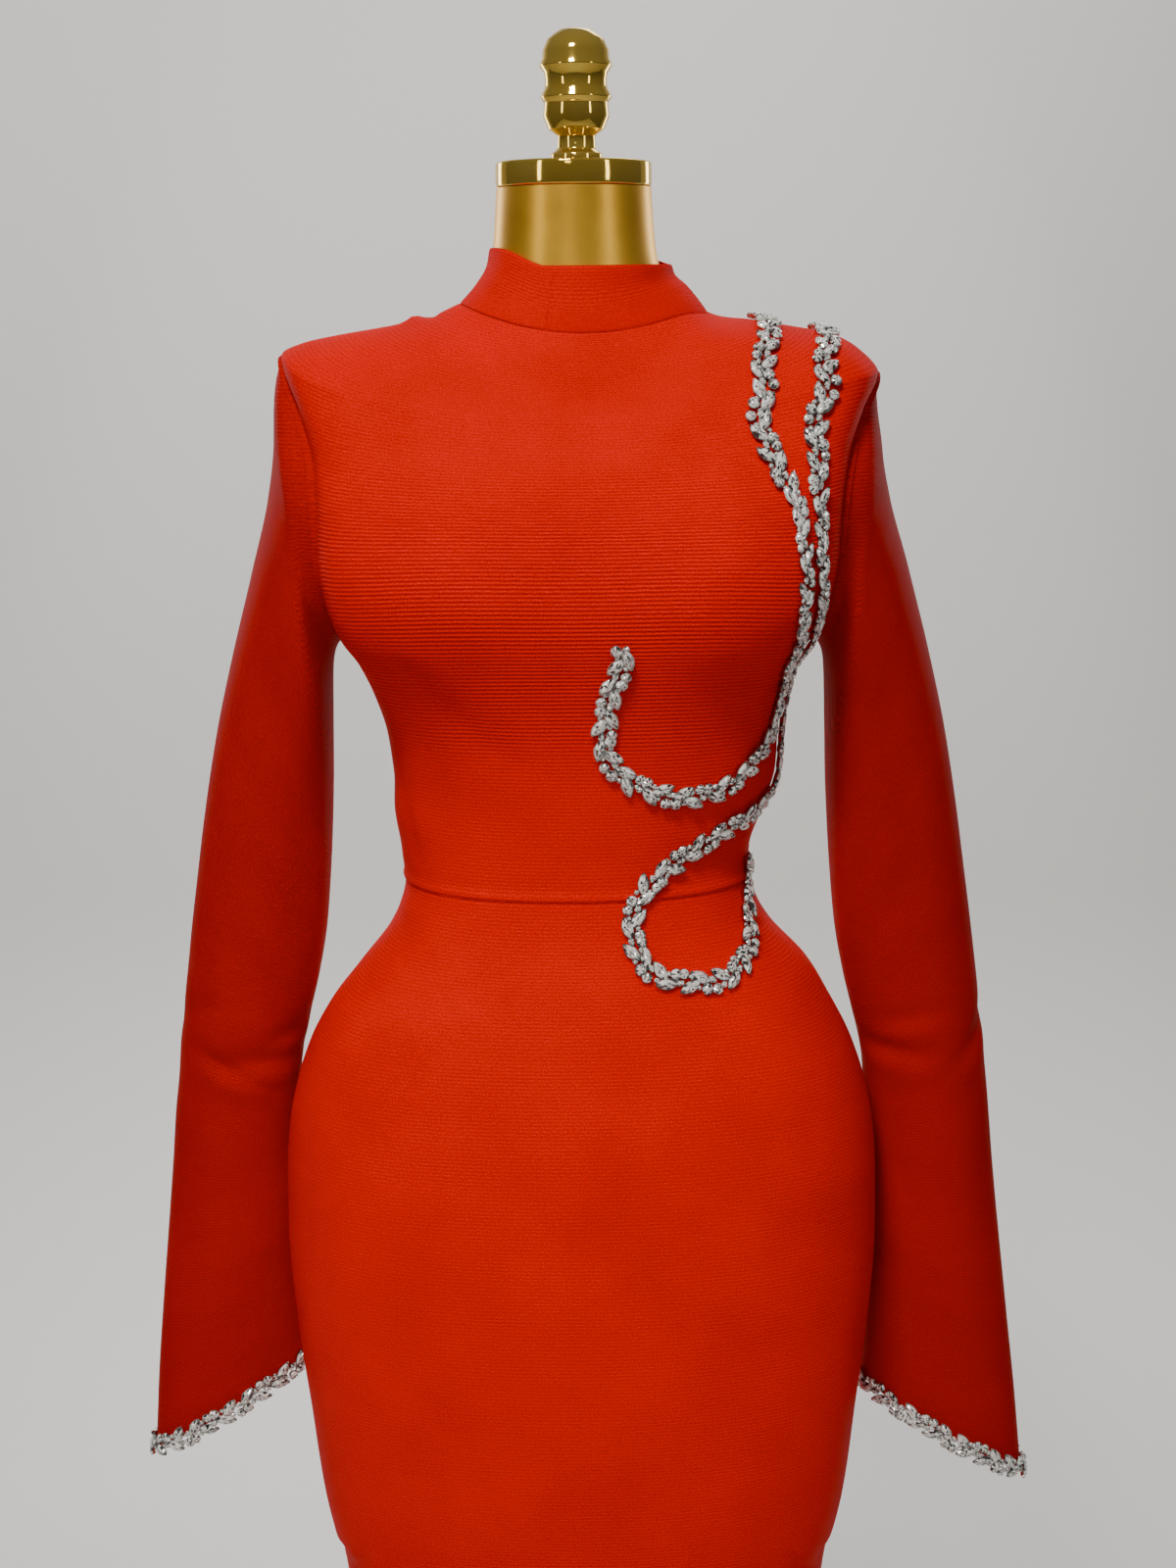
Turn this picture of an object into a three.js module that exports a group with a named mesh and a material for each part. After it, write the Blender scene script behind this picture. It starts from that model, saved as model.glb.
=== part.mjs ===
// A long-sleeved knit bodycon dress with crystal trim, on a limbless dress form with a stand.
// Millimetres, +Z up, front towards -Y, +X to the wearer's left. The origin is on the floor,
// in the middle of the stand's base.
import * as THREE from 'three';

// Cloth and seams
const clothWall = 1.5;
const seamGap = 0.3;
const hemHeight = 240;
const waistSeam = 1042;
const neckSeam = 1419;

// Armhole, from the armpit to the shoulder tip
const armpit = 1205;
const shoulderTip = 1388;
const armholeTurn = THREE.MathUtils.degToRad(27);

// Dress form
const formGap = 3;
const formGapAtShoulder = 1.6;
const formBottom = 574;
const formSteps = 24;

// Columns of the body's level lines. 'up' is the height at the side, 'frontUp' and 'backUp' are
// the heights at the centre front and centre back, and 'half', 'front' and 'back' are the reach
// to the side, front and back. 'square' fills out the corners of the line.
const bodyColumns = ['up', 'half', 'front', 'back', 'square', 'frontUp', 'backUp', 'shift'];
const bodyRows = [
  [240, 150, 84, 84, 0.02, 240, 240, 0],
  [320, 152, 86, 88, 0.02, 320, 320, 0],
  [430, 160, 93, 97, 0.02, 430, 430, 0],
  [525, 168.5, 100, 105, 0.03, 525, 525, 0],
  [556, 173, 103, 109, 0.03, 556, 556, 0],
  [572, 179, 105.5, 112, 0.03, 572, 572, 0],
  [602, 185, 108, 116, 0.03, 602, 602, 0],
  [662, 192, 111, 123, 0.03, 662, 662, 0],
  [722, 199, 113, 129, 0.03, 722, 722, 0],
  [790, 203.5, 114, 134, 0.03, 790, 790, 0],
  [835, 203, 114, 136, 0.03, 835, 835, 0],
  [867, 200.5, 113, 135, 0.03, 867, 867, 0],
  [895, 195, 111, 131, 0.03, 895, 895, 0],
  [923, 186, 108, 125, 0.03, 923, 923, 0],
  [951, 171.5, 104, 116, 0.03, 951, 951, 0.5],
  [979, 152.5, 98.5, 105, 0.025, 979, 979, 3],
  [1007, 129, 92, 92, 0.02, 1007, 1007, 1],
  [1022, 121, 89.5, 86, 0.02, 1022, 1022, 0],
  [1040, 116, 88, 82, 0.02, 1040, 1040, -1],
  [1061, 117, 88, 80, 0.02, 1061, 1061, -2],
  [1088, 123.5, 89.5, 82, 0.02, 1088, 1088, 0.5],
  [1115, 127.5, 92, 86, 0.03, 1115, 1115, 4.5],
  [1142, 130, 95, 90, 0.04, 1142, 1142, 3.5],
  [1168, 136, 98.5, 94, 0.05, 1168, 1168, 1.5],
  [1190, 143.5, 101, 97, 0.07, 1190, 1190, 0],
  [1208, 154, 102.5, 98.5, 0.09, 1208, 1208, 0],
  [1235, 162, 103.5, 100, 0.11, 1234, 1235, 1],
  [1260, 165, 103, 100.5, 0.12, 1257, 1259, 2],
  [1297, 167, 100, 100, 0.12, 1287, 1291, 3],
  [1330, 172, 95.5, 97.5, 0.11, 1311, 1317, 4],
  [1360, 181, 90, 93, 0.1, 1330, 1339, 4],
  [1388, 191.5, 85.5, 88, 0.08, 1346, 1357, 4],
  [1395, 177, 82, 84.5, 0.08, 1354, 1367, 4],
  [1399, 158, 78.5, 81, 0.07, 1362, 1377, 4],
  [1403, 134, 74.5, 77, 0.06, 1373, 1391, 4.5],
  [1407, 112, 70, 73, 0.04, 1385, 1406, 5.5],
  [1412, 95, 66.5, 70.5, 0.02, 1393, 1418, 6.5],
  [1419, 80, 64, 68, 0, 1400, 1429, 7],
];

// The form's neck goes on inside the collar
const neckRows = [
  [1421, 67, 58, 61, 0, 1403, 1430, 5],
  [1428, 58.5, 55, 57.5, 0, 1414, 1438, 3.5],
  [1438, 54.5, 53, 54, 0, 1429, 1446, 2],
  [1455, 52, 51.5, 51.5, 0, 1450, 1458, 1],
  [1490, 49.5, 49.5, 49.5, 0, 1490, 1490, 1],
];

// The collar stands higher on the wearer's right, where its end turns up
const collarRows = [
  [1419, 80, 64, 68, 0, 1400, 1429, 7],
  [1430, 67, 61, 64.5, 0, 1413, 1439, 6],
  [1436, 60.5, 58.5, 61, 0, 1427.5, 1448, 5],
  [1442, 58.5, 57, 59, 0, 1441, 1455, 5],
];
const collarLift = { height: 11, from: -16, to: -50 };

// On the wearer's left, the shoulder tip and the side of the neck hang lower
const tipDrop = { down: 13, start: 155, full: 195.5, power: 2.2, from: 1240, to: 1365 };
const neckDrop = { down: 7.5, aside: 87, spread: 13, deep: 60, from: 1370, to: 1395 };

// The bust, where the knit spans between the two sides
const bust = { apart: 160, up: 1238, out: 28, wide: 50, above: 58, below: 44 };

// Level lines that get a row of corners
const skirtRows = [
  240, 330, 430, 500, 545, 560, 574, 600, 650, 710, 770, 830, 870, 900, 925, 948, 968, 988,
  1006, 1022, waistSeam,
];
const bodiceLowRows = [waistSeam, 1058, 1082, 1108, 1134, 1160, 1184];
const formRows = [
  574, 600, 650, 715, 780, 840, 890, 930, 960, 985, 1008, 1034, 1062, 1100, 1145, 1185, 1225,
  1265, 1300, 1335, 1365, 1388, 1395, 1399, 1403, 1407, 1412, 1419,
];
const bodiceTopRows = [1395, 1399, 1403, 1407, 1412, 1419];
const armholeSteps = 8;
const halfTurnSteps = 16;

// Sleeve stations, from the shoulder (1) to the hem (16). 'in' is the line under the arm and
// 'out' the line over the arm, 'deep' is half the depth from front to back, 'behind' how far
// the middle lies behind the side seam.
const sleeveColumns = ['at', 'inX', 'inUp', 'outX', 'outUp', 'deep', 'behind'];
const sleeveRows = [
  [1, 161, 1194, 193.5, 1370, 60, 0],
  [2, 163, 1172, 195, 1337, 59, 2],
  [3, 164, 1140, 201, 1296, 57, 5],
  [4, 165, 1106, 214, 1246, 55, 9],
  [5, 167, 1072, 229, 1193, 52, 14],
  [6, 170, 1036, 242.5, 1141, 49, 20],
  [7, 174, 1000, 253.5, 1088, 46, 26],
  [8, 181, 964, 263, 1034, 44, 33],
  [9, 190, 928, 272, 979, 42, 39],
  [10, 197, 892, 279.5, 924, 40, 43],
  [11, 200, 856, 286, 872, 39, 45],
  [12, 201, 820, 291.5, 820, 38, 46],
  [13, 201, 784, 297, 770, 37.5, 46],
  [14, 201, 748, 303, 716, 36, 46],
  [15, 200.5, 712, 308.5, 662, 33, 46],
  [16, 200, 677, 313, 604, 29, 46],
];
const sleeveStations = [
  1, 2, 3, 4, 5, 6, 7, 8, 8.6, 9.2, 9.7, 10.2, 10.7, 11.5, 12.4, 13.3, 14.2, 15.1, 16,
];
// The wearer's left sleeve hangs a little lower and farther out: station, down, out
const leftSleeveRows = [
  [1, 0, 1.5], [2, 0, 5], [4, 1, 6], [8, 3, 3], [12, 8, 2], [14, 12, 3], [16, 23, 6.5],
];

// Elbow creases as soft troughs: station, turn round the sleeve from the front (degrees,
// positive towards the outer edge), depth, and their spread along and round the sleeve
const sleeveCreases = [
  { side: -1, at: 9.7, turn: -20, deep: 3.5, along: 0.3, round: 45 },
  { side: -1, at: 10.3, turn: 60, deep: 1.5, along: 0.25, round: 30 },
  { side: 1, at: 9.5, turn: -35, deep: 3, along: 0.3, round: 35 },
  { side: 1, at: 9.9, turn: 75, deep: 2.5, along: 0.3, round: 25 },
  { side: -1, at: 9.5, turn: 180, deep: 3, along: 0.35, round: 50 },
  { side: 1, at: 9.8, turn: 200, deep: 3, along: 0.35, round: 45 },
];

// Crystal trim: a low band, thick at each cluster and thin between
const trimWide = 14;
const pairWide = 11;
const trimThick = 5.2;
const trimThin = 3;
const trimSeat = 1.0;
const clusterPitch = 22;
const trimStep = clusterPitch / 2;
const cuffTrimDrop = 7;

// Routes of the strands on the body: degrees round from the wearer's left side towards the
// front, and the level line's height at the side
const innerStrand = [
  { turn: -12, up: 1406 }, { turn: 0, up: 1406 }, { turn: 18, up: 1405 }, { turn: 34, up: 1403.5 },
  { turn: 47, up: 1401 }, { turn: 57, up: 1397 }, { turn: 63, up: 1388 }, { turn: 63, up: 1369 },
  { turn: 61, up: 1344 }, { turn: 57, up: 1320 }, { turn: 54.5, up: 1303 }, { turn: 53, up: 1286 },
  { turn: 51.5, up: 1270 }, { turn: 50, up: 1252 }, { turn: 47.5, up: 1236 },
  { turn: 43.5, up: 1220 },
  { turn: 38, up: 1203 }, { turn: 30, up: 1186 }, { turn: 25, up: 1169 }, { turn: 25, up: 1155 },
  { turn: 29, up: 1142 }, { turn: 36, up: 1130 }, { turn: 46, up: 1118 }, { turn: 55, up: 1111 },
  { turn: 63, up: 1110 }, { turn: 71, up: 1114 }, { turn: 78, up: 1121 }, { turn: 83, up: 1134 },
  { turn: 85, up: 1150 }, { turn: 84, up: 1166 }, { turn: 83, up: 1182 }, { turn: 82, up: 1198 },
  { turn: 82, up: 1213 },
];
const outerStrand = [
  { turn: -12, up: 1399 }, { turn: 0, up: 1399 }, { turn: 20, up: 1398.5 }, { turn: 35, up: 1397 },
  { turn: 45, up: 1393 }, { turn: 50, up: 1380 }, { turn: 51, up: 1358 }, { turn: 49.5, up: 1338 },
  { turn: 48.5, up: 1320 }, { turn: 47.5, up: 1303 }, { turn: 46.5, up: 1286 },
  { turn: 45.5, up: 1269 }, { turn: 43.5, up: 1252 }, { turn: 39.5, up: 1235 },
  { turn: 33, up: 1218 }, { turn: 24, up: 1201 }, { turn: 15, up: 1186 }, { turn: 8, up: 1170 },
  { turn: 6, up: 1154 }, { turn: 8, up: 1137 }, { turn: 6, up: 1120 }, { turn: 7, up: 1107 },
  { turn: 13, up: 1100 }, { turn: 23, up: 1096 }, { turn: 33, up: 1089 }, { turn: 45, up: 1082 },
  { turn: 54, up: 1073 }, { turn: 62, up: 1062 }, { turn: 69, up: 1051 }, { turn: 73, up: 1035 },
  { turn: 75, up: 1018 }, { turn: 74, up: 1003 }, { turn: 70, up: 992 }, { turn: 62, up: 988 },
  { turn: 52, up: 989 }, { turn: 43, up: 997 }, { turn: 35, up: 1006 }, { turn: 28, up: 1018 },
  { turn: 21, up: 1032 }, { turn: 16, up: 1046 }, { turn: 15, up: 1060 },
];

// Zip slider and pull tab, on the outside of the collar at the centre back. The slider is a
// plate with a bridge on it, and the tab's crossbar runs through the bridge.
const sliderUp = 1432;
const sliderSeat = 0.35;
const sliderWide = 4.2;
const sliderTall = 8;
const sliderPlate = 1.8;
const bridgeReach = 2.6;
const bridgeWall = 0.8;
const bridgeEnd = 0.6;
const pullWide = 6.8;
const pullLong = 20;
const pullThick = 0.9;
const pullArm = 0.9;
const pullCorner = 2;
const windowTall = 4;
const pullLean = THREE.MathUtils.degToRad(6);

// Neck cap, knob and stand
const neckShift = 1;
const finialShift = 3;
const capProfile = [
  [0, 1490.3], [49, 1490.3], [50, 1491.3], [50, 1505], [49, 1506], [0, 1506],
];
const finialProfile = [
  [0, 1506.3], [16.5, 1506.3], [16.5, 1511], [12.5, 1514], [12, 1522], [18, 1526],
  [21.2, 1534], [20.4, 1542], [23, 1545.7], [20, 1551], [19.6, 1556], [20.4, 1560.5],
  [23.5, 1565], [21.4, 1569], [21.2, 1574], [18.2, 1581], [11, 1586.6], [0, 1588.5],
];
const poleProfile = [
  [0, 30.3], [12.5, 30.3], [12.5, 548], [16, 551], [16, 558], [34, 562], [34, 565.7], [0, 565.7],
];
const baseProfile = [
  [0, 0], [170, 0], [170, 7], [167, 10], [40, 13], [22, 18], [22, 30], [0, 30],
];

const vec = (x, y, z) => new THREE.Vector3(x, y, z);
const materials = {
  knit: new THREE.MeshStandardMaterial({ color: 0xbe1405, roughness: 0.72, metalness: 0 }),
  crystal: new THREE.MeshStandardMaterial({ color: 0xd9dcde, roughness: 0.15, metalness: 0.6 }),
  goldPaint: new THREE.MeshStandardMaterial({ color: 0xa97a2c, roughness: 0.4, metalness: 0.7 }),
  polishedGold: new THREE.MeshStandardMaterial({ color: 0xd9a83a, roughness: 0.12, metalness: 1 }),
  zipMetal: new THREE.MeshStandardMaterial({ color: 0xa8170c, roughness: 0.35, metalness: 0.4 }),
};

// A table read at any station, smooth between its rows and never past them
function smoothTable(columns, rows) {
  const keys = rows.map((row) => row[0]);
  const slopes = columns.map((name, column) => {
    const step = (i) => (rows[i + 1][column] - rows[i][column]) / (keys[i + 1] - keys[i]);
    return rows.map((row, i) => {
      if (i === 0) return step(0);
      if (i === rows.length - 1) return step(i - 1);
      if (step(i - 1) * step(i) <= 0) return 0;
      const before = 2 * (keys[i + 1] - keys[i]) + (keys[i] - keys[i - 1]);
      const after = (keys[i + 1] - keys[i]) + 2 * (keys[i] - keys[i - 1]);
      return (before + after) / (before / step(i - 1) + after / step(i));
    });
  });
  return (station) => {
    const key = THREE.MathUtils.clamp(station, keys[0], keys[keys.length - 1]);
    let i = 0;
    while (i < keys.length - 2 && keys[i + 1] <= key) i += 1;
    const span = keys[i + 1] - keys[i];
    const t = (key - keys[i]) / span;
    const low = (1 + 2 * t) * (1 - t) ** 2;
    const lowSlope = t * (1 - t) ** 2 * span;
    const high = t * t * (3 - 2 * t);
    const highSlope = t * t * (t - 1) * span;
    const values = {};
    columns.forEach((name, c) => {
      values[name] = low * rows[i][c] + lowSlope * slopes[c][i]
        + high * rows[i + 1][c] + highSlope * slopes[c][i + 1];
    });
    return values;
  };
}

const bodyAt = smoothTable(bodyColumns, bodyRows);
const neckAt = smoothTable(bodyColumns, neckRows);
const collarAt = smoothTable(bodyColumns, collarRows);
const sleeveAt = smoothTable(sleeveColumns, sleeveRows);
const leftSleeveAt = smoothTable(['at', 'down', 'out'], leftSleeveRows);

// A point of a level line: turn 0 is the wearer's left side, a quarter turn the centre front
function linePoint(line, turn) {
  const across = Math.cos(turn);
  const along = Math.sin(turn);
  const inFront = along >= 0;
  const reach = inFront ? line.front : line.back;
  const centreUp = inFront ? line.frontUp : line.backUp;
  const fill = 1 - line.square;
  return vec(
    line.shift + line.half * (across - line.square * Math.cos(3 * turn)) / fill,
    -reach * (along + line.square * Math.sin(3 * turn)) / fill,
    line.up + (centreUp - line.up) * along * along,
  );
}

function settled(point, neckShare = 1) {
  const { x, y, z } = point;
  const tip = THREE.MathUtils.clamp((x - tipDrop.start) / (tipDrop.full - tipDrop.start), 0, 1);
  const tipHigh = THREE.MathUtils.smoothstep(z, tipDrop.from, tipDrop.to);
  const neck = Math.exp(-0.5 * ((x - neckDrop.aside) / neckDrop.spread) ** 2)
    * Math.max(0, 1 - (y / neckDrop.deep) ** 2) ** 2;
  const neckHigh = THREE.MathUtils.smoothstep(z, neckDrop.from, neckDrop.to);
  point.z -= tipDrop.down * tipHigh * tip ** tipDrop.power;
  point.z -= neckDrop.down * neckHigh * neck * neckShare;
  return point;
}

// The outside of the cloth on the body
function bodyPoint(turn, up) {
  const line = bodyAt(up);
  const point = linePoint(line, turn);
  if (Math.sin(turn) > 0) {
    const rise = point.z - bust.up;
    const level = Math.exp(-0.5 * (rise / (rise > 0 ? bust.above : bust.below)) ** 2);
    const facing = Math.min(1, 3 * Math.sin(turn) ** 2);
    for (const side of [-1, 1]) {
      const aside = (point.x - line.shift - side * bust.apart / 2) / bust.wide;
      point.y -= bust.out * level * facing * Math.exp(-0.5 * aside * aside);
    }
  }
  return settled(point);
}

// How the surface runs at a point: towards a larger turn, upwards, and straight out
function surfaceFrame(surface, turn, up, low, high) {
  const turnStep = 0.002;
  const upStep = 0.3;
  const upAbove = Math.min(up + upStep, high);
  const upBelow = Math.max(up - upStep, low);
  const round = surface(turn + turnStep, up).sub(surface(turn - turnStep, up));
  round.divideScalar(2 * turnStep);
  const rise = surface(turn, upAbove).sub(surface(turn, upBelow));
  rise.divideScalar(upAbove - upBelow);
  const out = rise.clone().cross(round).normalize();
  return { round, rise, out };
}

function offsetPoint(surface, turn, up, out, low, high) {
  const frame = surfaceFrame(surface, turn, up, low, high);
  return surface(turn, up).addScaledVector(frame.out, out);
}

const bodyOffset = (turn, up, out) => offsetPoint(bodyPoint, turn, up, out, hemHeight, neckSeam);

// Half of the armhole's opening angle at a level line
function armholeAngle(up) {
  const middle = (armpit + shoulderTip) / 2;
  const reach = (shoulderTip - armpit) / 2;
  const share = (up - middle) / reach;
  return Math.abs(share) >= 1 ? 0 : armholeTurn * Math.sqrt(1 - share * share);
}

const armholeRows = Array.from({ length: armholeSteps + 1 }, (unused, i) => {
  const angle = -Math.PI / 2 + (Math.PI * i) / armholeSteps;
  return (armpit + shoulderTip) / 2 + ((shoulderTip - armpit) / 2) * Math.sin(angle);
});
const bodiceRows = [...bodiceLowRows, ...armholeRows, ...bodiceTopRows];

// Closed body from triangles listed by corner number, turned the right way out
function solidFrom(corners, triangles) {
  let volume = 0;
  for (const [a, b, c] of triangles) {
    volume += corners[a].dot(corners[b].clone().cross(corners[c]));
  }
  const faces = volume > 0 ? triangles : triangles.map(([a, b, c]) => [a, c, b]);
  const geometry = new THREE.BufferGeometry();
  geometry.setAttribute('position', new THREE.Float32BufferAttribute(
    corners.flatMap((corner) => corner.toArray()), 3));
  geometry.setIndex(faces.flat());
  geometry.computeVertexNormals();
  return geometry;
}

// Rings of corners joined one to the next. An open stack is closed at each end by a fan.
function stackRings(rings, closed) {
  const corners = rings.flat();
  const count = rings[0].length;
  const triangles = [];
  const last = closed ? rings.length : rings.length - 1;
  for (let i = 0; i < last; i += 1) {
    const next = (i + 1) % rings.length;
    for (let j = 0; j < count; j += 1) {
      const k = (j + 1) % count;
      triangles.push([i * count + j, i * count + k, next * count + k]);
      triangles.push([i * count + j, next * count + k, next * count + j]);
    }
  }
  if (!closed) {
    for (const end of [0, rings.length - 1]) {
      const middle = vec(0, 0, 0);
      rings[end].forEach((corner) => middle.addScaledVector(corner, 1 / count));
      const centre = corners.push(middle) - 1;
      for (let j = 0; j < count; j += 1) {
        const a = end * count + j;
        const b = end * count + ((j + 1) % count);
        triangles.push(end === 0 ? [centre, b, a] : [centre, a, b]);
      }
    }
  }
  return solidFrom(corners, triangles);
}

// A panel of cloth from two grids of corners, outside and inside, closed round its four edges
function panelSolid(outside, inside) {
  const rows = outside.length;
  const columns = outside[0].length;
  const corners = [...outside.flat(), ...inside.flat()];
  const outer = (i, j) => i * columns + j;
  const inner = (i, j) => rows * columns + i * columns + j;
  const triangles = [];
  for (let i = 0; i < rows - 1; i += 1) {
    for (let j = 0; j < columns - 1; j += 1) {
      triangles.push([outer(i, j), outer(i, j + 1), outer(i + 1, j + 1)]);
      triangles.push([outer(i, j), outer(i + 1, j + 1), outer(i + 1, j)]);
      triangles.push([inner(i, j), inner(i + 1, j + 1), inner(i, j + 1)]);
      triangles.push([inner(i, j), inner(i + 1, j), inner(i + 1, j + 1)]);
    }
  }
  const edge = [];
  for (let j = 0; j < columns - 1; j += 1) edge.push([0, j]);
  for (let i = 0; i < rows - 1; i += 1) edge.push([i, columns - 1]);
  for (let j = columns - 1; j > 0; j -= 1) edge.push([rows - 1, j]);
  for (let i = rows - 1; i > 0; i -= 1) edge.push([i, 0]);
  edge.forEach(([i, j], n) => {
    const [k, l] = edge[(n + 1) % edge.length];
    triangles.push([outer(i, j), inner(k, l), outer(k, l)]);
    triangles.push([outer(i, j), inner(i, j), inner(k, l)]);
  });
  return solidFrom(corners, triangles);
}

// Cloth on the body between two edges, each given as a turn for every level line
function bodyPanel(levels, firstEdge, lastEdge, columns) {
  const grid = (out) => levels.map((level, row) => {
    const inset = seamGap / 2;
    let up = level;
    if (row === 0 && level > hemHeight) up += inset;
    if (row === levels.length - 1) up -= inset;
    const first = firstEdge(up);
    const last = lastEdge(up);
    const side = Math.sign(last - first);
    const insetTurn = (turn) => {
      const frame = surfaceFrame(bodyPoint, turn, up, hemHeight, neckSeam);
      return inset / frame.round.length();
    };
    const start = first + side * insetTurn(first);
    const end = last - side * insetTurn(last);
    return Array.from({ length: columns + 1 }, (unused, column) => (
      bodyOffset(start + ((end - start) * column) / columns, up, out)));
  });
  return panelSolid(grid(0), grid(-clothWall));
}

const frontFrom = (up) => armholeAngle(up);
const frontTo = (up) => Math.PI - armholeAngle(up);
const backLeftFrom = (up) => -armholeAngle(up);
const backRightTo = (up) => -Math.PI + armholeAngle(up);
const centreBack = () => -Math.PI / 2;

// The form under the cloth, with a rounded lower edge, and its bare neck
function formBody() {
  const rings = [];
  const turns = Array.from({ length: formSteps }, (unused, j) => (2 * Math.PI * j) / formSteps);
  const bodyRing = (up, inset) => turns.map((turn) => {
    const gap = up > shoulderTip ? formGapAtShoulder : formGap;
    return bodyOffset(turn, up, -clothWall - gap - inset);
  });
  rings.push(bodyRing(formBottom, 14).map((corner) => corner.setZ(formBottom - 8)));
  rings.push(bodyRing(formBottom, 6).map((corner) => corner.setZ(formBottom - 6.5)));
  for (const up of formRows) rings.push(bodyRing(up, 0));
  neckRows.forEach(([up], row) => {
    const share = Math.max(0, 1 - row / 2);
    rings.push(turns.map((turn) => settled(linePoint(neckAt(up), turn), share)));
  });
  return stackRings(rings, false);
}

const collarTop = collarRows[collarRows.length - 1][0];
function collarPoint(turn, up) {
  const point = linePoint(collarAt(up), turn);
  const share = (up - neckSeam) / (collarTop - neckSeam);
  const lift = THREE.MathUtils.smoothstep(-point.x, -collarLift.from, -collarLift.to);
  point.z += collarLift.height * lift * share * share;
  return settled(point, (1 - share) ** 2);
}

function collar() {
  const columns = 2 * halfTurnSteps;
  const low = neckSeam;
  const high = collarTop;
  const levels = [low + 0.1, 1425, 1430, 1436, high];
  const grid = (out) => levels.map((up) => {
    const first = -Math.PI / 2 + seamGap / 2 / collarAt(up).half;
    const turnAll = 2 * Math.PI - seamGap / collarAt(up).half;
    return Array.from({ length: columns + 1 }, (unused, j) => {
      const turn = first + (turnAll * j) / columns;
      const point = offsetPoint(collarPoint, turn, up, out, low, high);
      return up < low + 1 ? point.add(vec(0, 0, seamGap / 2)) : point;
    });
  });
  return panelSolid(grid(0), grid(-clothWall));
}

// Corners of one sleeve's wall, from the armhole ring to the hem ring. side is 1 for the
// wearer's left sleeve and -1 for the right one.
function sleeveRings(side, inset) {
  const count = 2 * armholeSteps;
  const middle = (armpit + shoulderTip) / 2;
  const reach = (shoulderTip - armpit) / 2 - seamGap / 2;
  const turnReach = armholeTurn - seamGap / 2 / bodyAt(middle).half;
  const angles = Array.from({ length: count }, (unused, j) => -Math.PI / 2 + (2 * Math.PI * j) / count);
  const armholeRing = angles.map((angle) => {
    const aside = turnReach * Math.cos(angle);
    const turn = side > 0 ? aside : Math.PI - aside;
    return bodyOffset(turn, middle + reach * Math.sin(angle), -inset);
  });
  const rings = [armholeRing];
  for (const at of sleeveStations) {
    const line = sleeveAt(at);
    const shift = side > 0 ? leftSleeveAt(at) : { down: 0, out: 0 };
    const out = vec(line.outX + shift.out, 0, line.outUp - shift.down);
    const inner = vec(line.inX + Math.min(shift.out, 2), 0, line.inUp - shift.down);
    const centre = out.clone().add(inner).multiplyScalar(0.5);
    const half = out.clone().sub(inner).multiplyScalar(0.5);
    const size = half.length();
    half.normalize();
    rings.push(angles.map((angle) => {
      let trough = 0;
      for (const crease of sleeveCreases) {
        if (crease.side === side) {
          const turn = THREE.MathUtils.radToDeg(angle);
          const round = THREE.MathUtils.euclideanModulo(turn - crease.turn + 180, 360) - 180;
          trough += crease.deep * Math.exp(-0.5 * ((at - crease.at) / crease.along) ** 2
            - 0.5 * (round / crease.round) ** 2);
        }
      }
      const shrink = inset + trough;
      const point = centre.clone()
        .addScaledVector(half, (size - shrink) * Math.sin(angle))
        .add(vec(0, line.behind - (line.deep - shrink) * Math.cos(angle), 0));
      point.x *= side;
      return settled(point);
    }));
  }
  return rings;
}

function sleeve(side) {
  const outside = sleeveRings(side, 0);
  const inside = sleeveRings(side, clothWall);
  return stackRings([...outside, ...inside.reverse()], true);
}

// Thickness of the crystal band a given way along it
function trimHeight(along) {
  const wave = 0.5 + 0.5 * Math.cos((2 * Math.PI * along) / clusterPitch);
  return trimThin + (trimThick - trimThin) * wave;
}

// The band's section, from one edge over its crown to the other edge and back underneath
const trimSection = [
  { across: -0.5, rise: 0 }, { across: -0.36, rise: 0.75 }, { across: 0, rise: 1 },
  { across: 0.36, rise: 0.75 }, { across: 0.5, rise: 0 }, { across: 0, rise: 0 },
];

// The strands are narrower where they run side by side
function trimWidth(turn, up) {
  const above = THREE.MathUtils.smoothstep(up, 1150, 1195);
  const below = 1 - THREE.MathUtils.smoothstep(up, 1285, 1335);
  return turn > Math.PI / 3 ? trimWide : THREE.MathUtils.lerp(trimWide, pairWide, above * below);
}

function strand(route) {
  const curve = new THREE.CatmullRomCurve3(
    route.map((stop) => vec(THREE.MathUtils.degToRad(stop.turn), stop.up, 0)), false, 'centripetal');
  const fine = curve.getPoints(route.length * 20);
  const path = [];
  let length = 0;
  let previous = null;
  for (const place of fine) {
    const point = bodyPoint(place.x, place.y);
    if (previous) length += point.distanceTo(previous);
    path.push({ turn: place.x, up: place.y, length });
    previous = point;
  }
  const stations = Math.round(length / trimStep);
  const rings = [];
  for (let n = 0; n <= stations; n += 1) {
    const along = (length * n) / stations;
    const k = Math.max(1, path.findIndex((place) => place.length >= along - 1e-6));
    const share = (along - path[k - 1].length) / (path[k].length - path[k - 1].length);
    const turn = THREE.MathUtils.lerp(path[k - 1].turn, path[k].turn, share);
    const up = THREE.MathUtils.lerp(path[k - 1].up, path[k].up, share);
    const ahead = bodyPoint(path[k].turn, path[k].up)
      .sub(bodyPoint(path[k - 1].turn, path[k - 1].up)).normalize();
    const frame = surfaceFrame(bodyPoint, turn, up, hemHeight, neckSeam);
    const sideways = ahead.clone().cross(frame.out).normalize();
    const height = trimHeight(along);
    const wide = trimWidth(turn, up);
    const middle = bodyPoint(turn, up);
    rings.push(trimSection.map(({ across, rise }) => {
      const target = middle.clone().addScaledVector(sideways, across * wide);
      const place = nearestOnBody(target, turn, up);
      return bodyOffset(place.turn, place.up, trimSeat + rise * height);
    }));
  }
  return stackRings(rings, false);
}

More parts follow.
